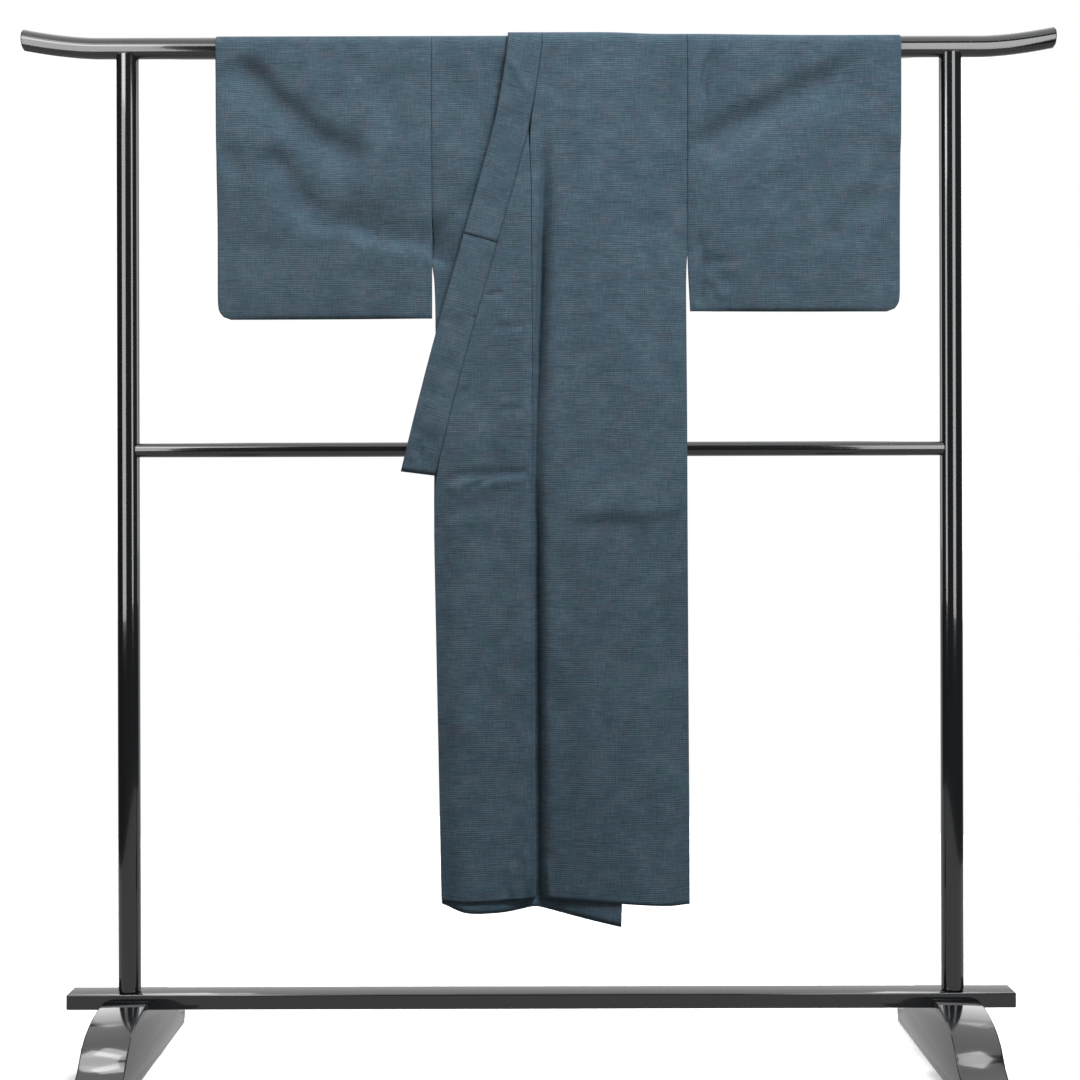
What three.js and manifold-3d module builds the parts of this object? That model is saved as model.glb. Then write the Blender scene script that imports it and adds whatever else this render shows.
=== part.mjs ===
// A man's tsumugi kimono hung from its sleeves on a lacquered kimono rack, closed left front over right.
// Millimetres, +Z up. The viewer stands at -Y. Left and right are the wearer's, so left lies at +X.
// The origin is on the floor, midway between the rack's feet.
import * as THREE from "three";
import { mergeVertices } from "three/addons/utils/BufferGeometryUtils.js";
import Module from "manifold-3d";

const wasm = await Module();
wasm.setup();

// Rack sizes
const BAR = { radius: 17, z: 1620, halfLength: 820 };
const SWEEP = { length: 120, rise: 14, power: 1.7, steps: 6 }; // how the bar's ends sweep up
const POST = { radius: 17.5, x: 655, foot: 120.3 };
const RAIL = { radius: 11.5, z: 981 };
const BEAM = { halfLength: 750, depth: 44, bottom: 96, top: 120 };
const FOOT = { width: 72, halfLength: 225, height: 109, toe: 20, undercut: 9, curveSteps: 6 };
// The foot's upper edge: two curves out from the beam, each its two control points and its end (Y, Z)
const FOOT_CURVES = [
  [[80, FOOT.height], [132, 92], [150, 60]],
  [[165, 34], [195, FOOT.toe + 6], [FOOT.halfLength, FOOT.toe]],
];
const GAP = 0.3; // between pieces that touch
const POST_TOP_BELOW_AXIS = 10; // how far under the bar's axis the post's saddle ends
const SOCKET_LENGTH = 100; // of the cutter that shapes the rail's ends
const ROUND_STEPS = 24; // sides of a round bar, so that each side turns 15 degrees

// Cloth sizes
const CLOTH = 1.4; // a lined panel
const COLLAR_THICK = 2; // the folded band
const COVER_THICK = 1; // the over-collar
const HEM_Z = 264;
const ARMHOLE_Z = 1280; // lower end of the sleeve's seam
const TIP_Z = 1480; // the overlap's pointed top
const COLLAR_END_Z = 938; // lower end of the collar's seam
const SEAM_X = { right: -169.5, left: 234.4 }; // sleeve seams
const NECK_X = { right: 58, left: 8 }; // where each shoulder ends at the neck
const NECK_ROW = 1; // the back starts at this row between the neck points, under the collar
const INNER_RADIUS = 18.2; // middle of the cloth that lies on the bar
const LAYER = 2.65; // from the middle of one folded layer to the next
const SEWN_HALF = (CLOTH + GAP) / 2; // half the distance between two walls whose edges are sewn together
const BOTTOM_HALF = 2.2; // half the distance between a sleeve's walls just above its folded bottom
const LAP = { step: 3.4, fade: 60 }; // the free edge that lies on the left side below the collar
const EDGE_FADE = { bar: 24, hem: 44.8 }; // how far from a sewn side the walls come together
const SIDE_OPEN = 20; // the side is fully open this far below the bar's axis

// Height of each row of cloth, from the bar's axis down to the hem
const ROW_Z = [
  1620, 1580, 1540, 1480, 1410, 1350, 1288, 1280, 1215, 1150, 1080, 1010, 938, 870, 780, 680, 580, 480, 380, 310,
  HEM_Z,
];
const LAST_ROW = ROW_Z.length - 1;
const TIP_ROW = ROW_Z.indexOf(TIP_Z);

// The left collar's seam, from the shoulder to its lower end
const COLLAR_SEAM = [
  { z: 1641, x: 8 },
  { z: 1560, x: -3 },
  { z: 1485, x: -16 },
  { z: 1304, x: -66.5 },
  { z: 1120, x: -119 },
  { z: COLLAR_END_Z, x: -165 },
];
// Left and right outlines of the closed body, from the armhole to the hem
const LEFT_OUTLINE = [
  { z: 1288, x: -169.5 },
  { z: ARMHOLE_Z, x: -165.5 },
  { z: 1215, x: -162.5 },
  { z: 880, x: -167.5 },
  { z: 586, x: -163 },
  { z: HEM_Z, x: -158 },
];
const RIGHT_OUTLINE = [
  { z: 1288, x: 234.4 },
  { z: ARMHOLE_Z, x: 232 },
  { z: 880, x: 233 },
  { z: HEM_Z, x: 237 },
];
// Seams between each front and its overlap; the right one is measured before the front's slant
const LEFT_OVERLAP_SEAM = [
  { z: TIP_Z, x: -15.7 },
  { z: 1410, x: -12 },
  { z: HEM_Z, x: -8 },
];
const RIGHT_OVERLAP_SEAM = [
  { z: TIP_Z, x: 80.3 },
  { z: 1410, x: 76 },
  { z: COLLAR_END_Z, x: 64 },
  { z: HEM_Z, x: 62 },
];
// The right front's inner edge, before its slant: neck, overlap's tip, collar's end and free edge
const RIGHT_INNER_EDGE = [
  { z: 1641, x: 55 },
  { z: 1620, x: 58 },
  { z: TIP_Z, x: 82 },
  { z: COLLAR_END_Z, x: 212 },
  { z: HEM_Z, x: 212 },
];
const RIGHT_SLANT = 85; // how far the right front's hem has swung to the wearer's right
// The pleat at the back: its two folds and the centre seam inside it, at the shoulder and at the hem
const PLEAT = {
  outerFold: { top: -23.5, hem: -23.5 },
  innerFold: { top: 89.5, hem: 131.5 },
  centreSeam: { top: 33.6, hem: 17 },
  clearOf: { from: 26, to: 96 }, // past the inner fold the left back closes on the innermost layer
};
const RIGHT_BACK_REACH = 95; // where the right back's flat part ends at the hem, before the pleat
const SIDE_CLOSE = 60; // how far from its sewn side the left back stands off in full
// Depth of the back, which leans on the front of the middle rail and swings back below it, and of the sides
const BACK_LINE = [
  { z: BAR.z, y: INNER_RADIUS },
  { z: 1010, y: -18.2 },
  { z: 938, y: -18.2 },
  { z: HEM_Z, y: 36 },
];
const SIDE_LINE = [
  { z: BAR.z, y: 0 },
  { z: ARMHOLE_Z, y: -11 },
  { z: 1010, y: -20.6 },
  { z: 938, y: -20.6 },
  { z: HEM_Z, y: 2 },
];
// The front hangs a little forward of the bar, most where the rail presses the back towards it
const FRONT = { lean: 4.5, bulge: 9, bulgeZ: 975, bulgeWidth: 320 };
// The trough down the front, sharp at its bottom beside the overlap's seam
const TROUGH = { x: -6, halfWidth: 145, depth: 42, power: 3, sharpness: 1.3 };
const VALLEY = { topX: 8, mergeZ: 900, pastSeam: 2, width: 7, depth: 7, underDepth: 4.5, underWidth: 45 };
const VALLEY_START = { above: 20, fade: 90 }; // it begins this far above the overlap's tip
// Where the overlap's edge turns in to the valley, from its seam, and the room that its tilted edge needs
const OVERLAP_TURN = { from: 6, to: 1, room: 0.45 };
const BACK_WAVE = { depth: 4, x: 60, length: 38, level: 0.4, power: 3 };
// Hem of the right front, seen below the left one
const RIGHT_HEM = [
  { x: -158, z: 258 },
  { x: -116, z: 244 },
  { x: -56, z: 243 },
  { x: -8, z: 249 },
  { x: 127, z: 225 },
];
const LEFT_HEM_DROP = { from: 90, to: 236, z: 8 };
const BACK_HEM_DROP = 4;
// The collar: a band along both fronts and round the back of the neck
const COLLAR = {
  thick: COLLAR_THICK,
  lift: 0.4,
  lowest: COLLAR_END_Z,
  leftWidth: 54,
  rightWidth: 46,
  backRadius: 20.2,
  backStep: 3, // the step round the bar where its upper edge crosses the back of the neck
  level: { from: 40, to: 200 }, // how far below the bar it turns from level to square with its seam
  backZ: [1600, 1580.3],
};
const OVER_COLLAR = { ...COLLAR, thick: COVER_THICK, lowest: 1304.4 };
OVER_COLLAR.lift = COLLAR.lift + COLLAR_THICK / 2 + GAP + COVER_THICK / 2;
OVER_COLLAR.backRadius = COLLAR.backRadius + COLLAR_THICK / 2 + GAP + COVER_THICK / 2;
// Sleeves: outer edge, lowest edge, and where the cuff opening ends
const SLEEVES = {
  right: { cuffX: -511, bottom: 1188.5, cuffEnd: 1400 },
  left: { cuffX: 573, bottom: 1199, cuffEnd: 1405 },
};
const SLEEVE_GAP = 0.5; // along the sleeve seam, whose edges tilt towards each other
const CORNER = 21; // radius of the sleeve's lower outer corner
const SLIT = { right: 0, left: 4 }; // how far the sleeve's sewn inner edge stands off by its bottom
const SLEEVE_ROWS = { armToCuff: 1340, aboveCuff: [1460, 1530, 1585] };
const SLEEVE_FORM = {
  edgeFade: 55, // how far from a sewn edge the walls come together
  belly: 0.6, // lower fills the sleeve out nearer its bottom
  cuffFade: 40, // above and below the end of the cuff's opening
  plumb: { share: 0.35, reach: 180 }, // how much of the side's lean is left so far from the seam
  quiet: { bottom: [10, 60], bar: 40 }, // where its folds fade out
};
// Soft diagonal troughs on the front of the sleeves: start, end, width and depth
const SLEEVE_FOLDS = {
  right: [
    { from: [-467, 1590], to: [-330, 1455], width: 16, depth: 4 },
    { from: [-395, 1440], to: [-250, 1325], width: 22, depth: 5 },
    { from: [-345, 1350], to: [-172, 1322], width: 17, depth: 5 },
  ],
  left: [
    { from: [500, 1600], to: [300, 1480], width: 24, depth: 4.5 },
    { from: [556, 1440], to: [520, 1350], width: 20, depth: 4 },
    { from: [277, 1630], to: [262, 1560], width: 7, depth: 2.5 },
  ],
};

const { clamp, lerp, smoothstep } = THREE.MathUtils;
const down = (z) => clamp((BAR.z - z) / (BAR.z - HEM_Z), 0, 1); // 0 at the bar, 1 at the hem
const bump = (distance, width) => Math.exp(-((distance / width) ** 2));

// Straight-line reading of a short table; its rows run one way along the column "by"
function read(table, by, column, value) {
  const sign = Math.sign(table[1][by] - table[0][by]);
  if ((value - table[0][by]) * sign <= 0) return table[0][column];
  for (let i = 1; i < table.length; i++) {
    const [before, after] = [table[i - 1], table[i]];
    if ((value - after[by]) * sign <= 0)
      return lerp(before[column], after[column], (value - before[by]) / (after[by] - before[by]));
  }
  return table[table.length - 1][column];
}
const leftOutline = (z) => read(LEFT_OUTLINE, "z", "x", z);
const rightOutline = (z) => read(RIGHT_OUTLINE, "z", "x", z);
const collarSeam = (z) => read(COLLAR_SEAM, "z", "x", z);
const leftOverlapSeam = (z) => read(LEFT_OVERLAP_SEAM, "z", "x", z);
const rightOverlapSeam = (z) => read(RIGHT_OVERLAP_SEAM, "z", "x", z) - RIGHT_SLANT * down(z);
const rightInnerEdge = (z) => read(RIGHT_INNER_EDGE, "z", "x", z) - RIGHT_SLANT * down(z);
const backLine = (z) => read(BACK_LINE, "z", "y", z);
const sideLine = (z) => read(SIDE_LINE, "z", "y", z);
const pleatX = (line, z) => lerp(PLEAT[line].top, PLEAT[line].hem, down(z));

// How far the left half lies from the bar's axis: it rests on the right half and its collar near the neck
const OVER_SEAM = 2.2; // what is left of that at the sleeve's seam
const SINKS = { body: [115, 185], sleeve: [250, 420] }; // where it comes down to that, and to nothing
const leftRadius = (x) => INNER_RADIUS + lerp(2 * LAYER, OVER_SEAM, smoothstep(x, ...SINKS.body));
const leftSleeveRadius = (x) => INNER_RADIUS + OVER_SEAM * (1 - smoothstep(x, ...SINKS.sleeve));

// Half the distance between the walls at a side: sewn below the armhole, open to the sleeve above it
const sideHalf = (z, radius) => lerp(SEWN_HALF, radius, smoothstep(z, ARMHOLE_Z, BAR.z - SIDE_OPEN));
// 0 on a sewn side and 1 inside the panel; the walls come together over a shorter way near the bar
const insideSide = (distance, z) => smoothstep(distance, 0, lerp(EDGE_FADE.bar, EDGE_FADE.hem, down(z)));

// Depth of the front before its sides and its valley are drawn in
function frontBase(x, z) {
  const bulge = FRONT.bulge * bump(z - FRONT.bulgeZ, FRONT.bulgeWidth);
  const nearness = clamp(1 - Math.abs(x - TROUGH.x) / TROUGH.halfWidth, 0, 1);
  const trough = TROUGH.depth * down(z) ** TROUGH.power * nearness ** TROUGH.sharpness;
  return -leftRadius(x) - FRONT.lean * down(z) - bulge + trough;
}
// The valley at the trough's bottom: sharp in the outer front, and wide in the layer behind it
const valleyX = (z) => {
  const besideSeam = leftOverlapSeam(z) + VALLEY.pastSeam;
  return lerp(besideSeam, VALLEY.topX, smoothstep(z, VALLEY.mergeZ, TIP_Z));
};
const valleyBegins = (z) => smoothstep(TIP_Z + VALLEY_START.above - z, 0, VALLEY_START.fade);
const valley = (x, z, depth, width) => depth * valleyBegins(z) * bump(x - valleyX(z), width);
// Depth of the outer front: left front, its overlap and its collar
function frontY(x, z) {
  const seamX = leftOverlapSeam(z);
  const turnedIn = smoothstep(x, seamX - OVERLAP_TURN.from, seamX - OVERLAP_TURN.to);
  const middle = frontBase(x, z) + turnedIn * valley(x, z, VALLEY.depth, VALLEY.width);
  const side = sideLine(z) - sideHalf(z, leftRadius(x));
  if (x > seamX) return lerp(side, middle, insideSide(rightOutline(z) - x, z));
  // below the collar its free edge lies on the left side of the body
  const belowCollar = smoothstep(COLLAR_END_Z + LAP.fade - z, 0, 2 * LAP.fade);
  return lerp(middle, side - LAP.step, belowCollar * (1 - insideSide(x - leftOutline(z), z)));
}
// Depth of the inner front: right front and its overlap, behind the outer one
function underY(x, z) {
  const behind = frontBase(x, z) + 2 * LAYER + valley(x, z, VALLEY.underDepth, VALLEY.underWidth);
  if (x > TROUGH.x) return lerp(sideLine(z), behind, insideSide(rightOutline(z) - x, z));
  return lerp(sideLine(z) - sideHalf(z, INNER_RADIUS), behind, insideSide(x - leftOutline(z), z));
}
// Depth of the innermost layer of the back
function backY(x, z) {
  const wave = Math.cos((x - BACK_WAVE.x) / BACK_WAVE.length) - BACK_WAVE.level;
  const waves = BACK_WAVE.depth * down(z) ** BACK_WAVE.power * wave;
  const inside = Math.min(insideSide(x - leftOutline(z), z), insideSide(rightOutline(z) - x, z));
  return lerp(sideLine(z) + sideHalf(z, INNER_RADIUS), backLine(z) + waves, inside);
}
// How far the left back stands off that layer: over the pleat, then closing in towards its sewn side
function leftBackOffset(x, z) {
  const pastFold = x - pleatX("innerFold", z);
  const overPleat = 1 - smoothstep(pastFold, PLEAT.clearOf.from, PLEAT.clearOf.to);
  const inPanel = lerp(OVER_SEAM * (1 - down(z)), 2 * LAYER, overPleat);
  const atSide = sideHalf(z, leftRadius(x)) - sideHalf(z, INNER_RADIUS);
  return lerp(atSide, inPanel, smoothstep(rightOutline(z) - x, 0, SIDE_CLOSE));
}

// A net of cloth: points on the middle of the wall and the four-sided cells between them
class Net {
  points = [];
  cells = [];
  row(points) {
    return points.map((p) => this.points.push(p) - 1);
  }
  // Cells between two rows of point numbers, faced the other way where turn is negative
  band(a, b, turn) {
    for (let i = 0; i + 1 < a.length; i++)
      this.cells.push(turn > 0 ? [a[i], a[i + 1], b[i + 1], b[i]] : [b[i], b[i + 1], a[i + 1], a[i]]);
  }
}

// Gives a net its thickness: two faces, moved apart along the net's normals, and a rim round each free edge
function wall(net, thickness) {
  const normals = net.points.map(() => new THREE.Vector3());
  const [ab, ad, normal] = [new THREE.Vector3(), new THREE.Vector3(), new THREE.Vector3()];
  for (const [a, b, c, d] of net.cells) {
    ab.subVectors(net.points[c], net.points[a]);
    ad.subVectors(net.points[d], net.points[b]);
    normal.crossVectors(ab, ad).normalize();
    for (const corner of [a, b, c, d]) normals[corner].add(normal);
  }
  const count = net.points.length;
  const positions = [];
  for (const side of [0.5, -0.5])
    net.points.forEach((p, i) => {
      const moved = normals[i].clone().normalize().multiplyScalar(side * thickness).add(p);
      positions.push(...moved.toArray());
    });
  const index = [];
  const edges = new Map();
  for (const [a, b, c, d] of net.cells) {
    index.push(a, b, c, a, c, d);
    index.push(a + count, c + count, b + count, a + count, d + count, c + count);
    for (const [p, q] of [[a, b], [b, c], [c, d], [d, a]]) {
      if (edges.has(`${q},${p}`)) edges.delete(`${q},${p}`);
      else edges.set(`${p},${q}`, [p, q]);
    }
  }
  for (const [p, q] of edges.values()) index.push(q, p, p + count, q, p + count, q + count);
  const geometry = new THREE.BufferGeometry();
  geometry.setAttribute("position", new THREE.Float32BufferAttribute(positions, 3));
  geometry.setIndex(index);
  geometry.computeVertexNormals();
  return geometry;
}

// Solid booleans for the rack's joints
function solidOf(geometry) {
  const bare = geometry.clone();
  for (const name of ["normal", "uv"]) bare.deleteAttribute(name);
  const merged = mergeVertices(bare, 1e-4);
  const vertProperties = merged.attributes.position.array;
  const triVerts = new Uint32Array(merged.index.array);
  return new wasm.Manifold(new wasm.Mesh({ numProp: 3, vertProperties, triVerts }));
}
function geometryOf(solid) {
  const mesh = solid.getMesh();
  const geometry = new THREE.BufferGeometry();
  geometry.setAttribute("position", new THREE.BufferAttribute(new Float32Array(mesh.vertProperties), 3));
  geometry.setIndex(new THREE.BufferAttribute(new Uint32Array(mesh.triVerts), 1));
  geometry.computeVertexNormals();
  return geometry;
}
const cut = (geometry, ...tools) =>
  geometryOf(tools.reduce((solid, tool) => solid.subtract(solidOf(tool)), solidOf(geometry)));

const lacquer = new THREE.MeshStandardMaterial({ color: 0x141416, roughness: 0.18, metalness: 0 });
const tsumugi = new THREE.MeshStandardMaterial({ color: 0x4b5f70, roughness: 0.85, metalness: 0 });
tsumugi.side = THREE.DoubleSide;

const part = new THREE.Group();
function add(name, geometry, material) {
  const mesh = new THREE.Mesh(geometry, material);
  mesh.name = name;
  part.add(mesh);
}

// A straight round bar along X or Z
function roundBar(radius, length, axis, centre) {
  const geometry = new THREE.CylinderGeometry(radius, radius, length, ROUND_STEPS);
  if (axis === "x") geometry.rotateZ(Math.PI / 2);
  else geometry.rotateX(Math.PI / 2);
  return geometry.translate(...centre);
}

// Height of the top bar's axis: level, then swept up at each end
function barAxisZ(x) {
  const past = clamp((Math.abs(x) - (BAR.halfLength - SWEEP.length)) / SWEEP.length, 0, 1);
  return BAR.z + SWEEP.rise * past ** SWEEP.power;
}
function topBar(radius) {
  const stations = [];
  for (let i = 0; i <= SWEEP.steps; i++) stations.push(-BAR.halfLength + (SWEEP.length * i) / SWEEP.steps);
  const all = [...stations, ...stations.map((x) => -x).reverse()];
  const section = Array.from({ length: ROUND_STEPS }, (_, k) => (2 * Math.PI * k) / ROUND_STEPS);
  const positions = [];
  for (const x of all)
    for (const a of section) positions.push(x, -radius * Math.sin(a), barAxisZ(x) + radius * Math.cos(a));
  const index = [];
  const ring = (s, k) => s * ROUND_STEPS + (k % ROUND_STEPS);
  for (let s = 0; s + 1 < all.length; s++)
    for (let k = 0; k < ROUND_STEPS; k++) {
      index.push(ring(s, k), ring(s, k + 1), ring(s + 1, k + 1));
      index.push(ring(s, k), ring(s + 1, k + 1), ring(s + 1, k));
    }
  for (let k = 1; k + 1 < ROUND_STEPS; k++) {
    index.push(ring(0, 0), ring(0, k + 1), ring(0, k));
    index.push(ring(all.length - 1, 0), ring(all.length - 1, k), ring(all.length - 1, k + 1));
  }
  const geometry = new THREE.BufferGeometry();
  geometry.setAttribute("position", new THREE.Float32BufferAttribute(positions, 3));
  geometry.setIndex(index);
  return geometry;
}

function addRack() {
  add("top_bar", topBar(BAR.radius), lacquer);
  const sides = { left_post: POST.x, right_post: -POST.x };
  for (const [name, x] of Object.entries(sides)) {
    const top = BAR.z - POST_TOP_BELOW_AXIS;
    const post = roundBar(POST.radius, top - POST.foot, "z", [x, 0, (top + POST.foot) / 2]);
    add(name, cut(post, topBar(BAR.radius + GAP)), lacquer);
  }
  // the rail's ends are hollowed to the posts' round sides, which they meet
  const rail = roundBar(RAIL.radius, 2 * POST.x, "x", [0, 0, RAIL.z]);
  const sockets = [-POST.x, POST.x].map((x) => roundBar(POST.radius + GAP, SOCKET_LENGTH, "z", [x, 0, RAIL.z]));
  add("middle_rail", cut(rail, ...sockets), lacquer);
  const beamHeight = BEAM.top - BEAM.bottom;
  const beam = new THREE.BoxGeometry(2 * BEAM.halfLength, BEAM.depth, beamHeight);
  add("lower_beam", beam.translate(0, 0, BEAM.bottom + beamHeight / 2), lacquer);
  add("left_foot", footGeometry(POST.x), lacquer);
  add("right_foot", footGeometry(-POST.x), lacquer);
}

// A foot across the beam: its side profile, drawn in Y and Z and pushed out along X
function footGeometry(x) {
  const { halfLength, height, toe, undercut, width } = FOOT;
  const seat = { y: BEAM.depth / 2 + GAP, z: BEAM.bottom - GAP };
  const profile = new THREE.Shape();
  profile.moveTo(-seat.y, seat.z);
  profile.lineTo(seat.y, seat.z);
  profile.lineTo(seat.y, height);
  for (const points of FOOT_CURVES) profile.bezierCurveTo(...points.flat());
  profile.lineTo(halfLength - undercut, 0);
  profile.lineTo(undercut - halfLength, 0);
  profile.lineTo(-halfLength, toe);
  // the same curves, mirrored and run backwards, to the beam's other side
  const [upper, lower] = FOOT_CURVES.map((points) => points.map(([y, z]) => [-y, z]));
  profile.bezierCurveTo(...lower[1], ...lower[0], ...upper[2]);
  profile.bezierCurveTo(...upper[1], ...upper[0], -seat.y, height);
  profile.closePath();
  const settings = { depth: width, bevelEnabled: false, curveSegments: FOOT.curveSteps };
  const geometry = new THREE.ExtrudeGeometry(profile, settings);
  // the shape's x is the rack's Y, its y is Z, and its depth is X
  const turn = new THREE.Matrix4().set(0, 0, 1, x - width / 2, 1, 0, 0, 0, 0, 1, 0, 0, 0, 0, 0, 1);
  return geometry.applyMatrix4(turn);
}

// Points over the bar at one angle from the top: negative towards the viewer
function overBar(x, angle, radius) {
  return new THREE.Vector3(x, radius * Math.sin(angle), BAR.z + radius * Math.cos(angle));
}
const QUARTER = 6; // steps of 15 degrees from the top of the bar to its side
const angleAt = (step) => (step * Math.PI) / (2 * QUARTER);

// Shares of the way from a sewn side to the inner edge; close together beside the overlap's valley
const FRONT_SHARES = [0, 0.05, 0.12, 0.28, 0.48, 0.66, 0.79, 0.87, 0.91, 0.945, 0.975, 1];
const UNDER_SHARES = [0, 0.06, 0.15, 0.26, 0.4, 0.58, 0.76, 0.9, 1];
const SLEEVE_SHARES = [0, 0.06, 0.16, 0.36, 0.6, 0.8, 0.93, 1];
const CORNER_RISES = [0, 4, 11, 21, 50]; // rows that follow the sleeve's rounded corner
const OVERLAP_SHARES = [0, 0.1, 0.22, 0.4, 0.62, 0.82, 0.96, 0.972, 0.984, 0.9925, 1];
const across = (shares, from, to) => shares.map((share) => lerp(from, to, share));

// Columns that turn a layer back on itself, round a half circle, and run on to the centre seam
function foldBack(foldX, direction, fromOffset, toOffset, endX) {
  const radius = Math.abs(fromOffset - toOffset) / 2;
  const startX = foldX - direction * radius;
  const turn = [0, 1, 2, 3, 4].map((k) => {
    const a = (Math.PI * k) / 4;
    const offset = (fromOffset + toOffset) / 2 + ((fromOffset - toOffset) / 2) * Math.cos(a);
    return { x: startX + direction * radius * Math.sin(a), offset };
  });
  const flat = [0.5, 1].map((share) => ({ x: lerp(startX, endX, share), offset: toOffset }));
  return [...turn, ...flat];
}

// One half of the body. Front and back are one length of cloth, parted on top of the bar into two solids.
// Each row runs from the side to the inner edge, and the rows run from the front hem to the back hem.
function bodyFront(half) {
  const net = new Net();
  const { seamX, neckX, shares, outline, radiusAt } = half;
  const rows = ROW_Z.slice(1).map((z, i) => {
    const atHem = i + 1 === LAST_ROW;
    return net.row(across(shares, outline(z), half.innerEdge(z)).map((x) => {
      const height = atHem ? half.hem(x) : z;
      return new THREE.Vector3(x, half.frontDepth(x, height), height);
    }));
  });
  rows.reverse();
  for (let step = -QUARTER; step <= 0; step++) {
    const parting = step === 0 ? -GAP / 2 / INNER_RADIUS : 0;
    const xs = across(shares, seamX, neckX);
    rows.push(net.row(xs.map((x) => overBar(x, angleAt(step) + parting, radiusAt(x)))));
  }
  for (let i = 0; i + 1 < rows.length; i++) net.band(rows[i], rows[i + 1], half.turn);
  return wall(net, CLOTH);
}
function bodyBack(half) {
  const net = new Net();
  const { seamX, neckX, shares, outline, radiusAt } = half;
  const shoulder = [];
  for (let step = 0; step <= QUARTER; step++) {
    const parting = step === 0 ? GAP / 2 / INNER_RADIUS : 0;
    const xs = across(shares, seamX, neckX);
    shoulder.push(net.row(xs.map((x) => overBar(x, angleAt(step) + parting, radiusAt(x)))));
  }
  const rows = ROW_Z.slice(NECK_ROW).map((z) => {
    const xs = across(shares, outline(z), half.backInset(z));
    const columns = [...xs.map((x) => ({ x, offset: half.backOffset(x, z) })), ...half.pleat(z)];
    const height = z === HEM_Z ? z - BACK_HEM_DROP : z;
    return net.row(columns.map((c) => new THREE.Vector3(c.x, backY(c.x, z) + c.offset, height)));
  });
  const yoke = [...shoulder, rows[0].slice(0, shares.length)];
  for (let i = 0; i + 1 < yoke.length; i++) net.band(yoke[i], yoke[i + 1], half.turn);
  for (let i = 0; i + 1 < rows.length; i++) net.band(rows[i], rows[i + 1], half.turn);
  return wall(net, CLOTH);
}

const leftHem = (x) => HEM_Z - LEFT_HEM_DROP.z * smoothstep(x, LEFT_HEM_DROP.from, LEFT_HEM_DROP.to);
const rightHem = (x) => read(RIGHT_HEM, "x", "z", x);

function addBody() {
  const left = {
    seamX: SEAM_X.left,
    neckX: NECK_X.left,
    shares: FRONT_SHARES,
    outline: rightOutline,
    innerEdge: (z) => (z > TIP_Z ? collarSeam(z) : leftOverlapSeam(z)) + GAP / 2,
    frontDepth: frontY,
    hem: leftHem,
    radiusAt: leftRadius,
    backInset: () => NECK_X.left,
    backOffset: leftBackOffset,
    pleat: (z) => foldBack(pleatX("outerFold", z), -1, 2 * LAYER, LAYER, pleatX("centreSeam", z) - GAP / 2),
    turn: -1,
  };
  const right = {
    seamX: SEAM_X.right,
    neckX: NECK_X.right,
    shares: UNDER_SHARES,
    outline: leftOutline,
    innerEdge: (z) => (z > TIP_Z ? rightInnerEdge(z) : rightOverlapSeam(z)) - GAP / 2,
    frontDepth: underY,
    hem: rightHem,
    radiusAt: () => INNER_RADIUS,
    backInset: (z) => lerp(NECK_X.right, RIGHT_BACK_REACH, down(z)),
    backOffset: () => 0,
    pleat: (z) => foldBack(pleatX("innerFold", z), 1, 0, LAYER, pleatX("centreSeam", z) + GAP / 2),
    turn: 1,
  };
  for (const [side, half] of [["left", left], ["right", right]]) {
    add(`${side}_front`, bodyFront(half), tsumugi);
    add(`${side}_back`, bodyBack(half), tsumugi);
  }
}

// An overlap panel, from its pointed top to the hem, between two edges that run down it
function overlapPanel(fromX, toX, depth, hem) {
  const net = new Net();
  const rows = ROW_Z.slice(TIP_ROW).map((z) => {
    const xs = across(OVERLAP_SHARES, fromX(z), toX(z));
    return net.row(xs.map((x) => {
      const height = z === HEM_Z ? hem(x) : z;
      return new THREE.Vector3(x, depth(x, height), height);
    }));
  });
  for (let i = 0; i + 1 < rows.length; i++) net.band(rows[i], rows[i + 1], 1);
  return wall(net, CLOTH);
}

function addOverlaps() {
  const leftFrom = (z) => (z >= COLLAR_END_Z ? collarSeam(z) + GAP / 2 : leftOutline(z));
  const leftTo = (z) => leftOverlapSeam(z) - GAP / 2 - OVERLAP_TURN.room;
  add("left_overlap", overlapPanel(leftFrom, leftTo, frontY, leftHem), tsumugi);
  const rightFrom = (z) => rightOverlapSeam(z) + GAP / 2;
  const rightTo = (z) => rightInnerEdge(z) - GAP / 2;
  add("right_overlap", overlapPanel(rightFrom, rightTo, underY, rightHem), tsumugi);
}

const SLOPE_SPAN = 20; // the seam's slope is read this far above and below
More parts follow.
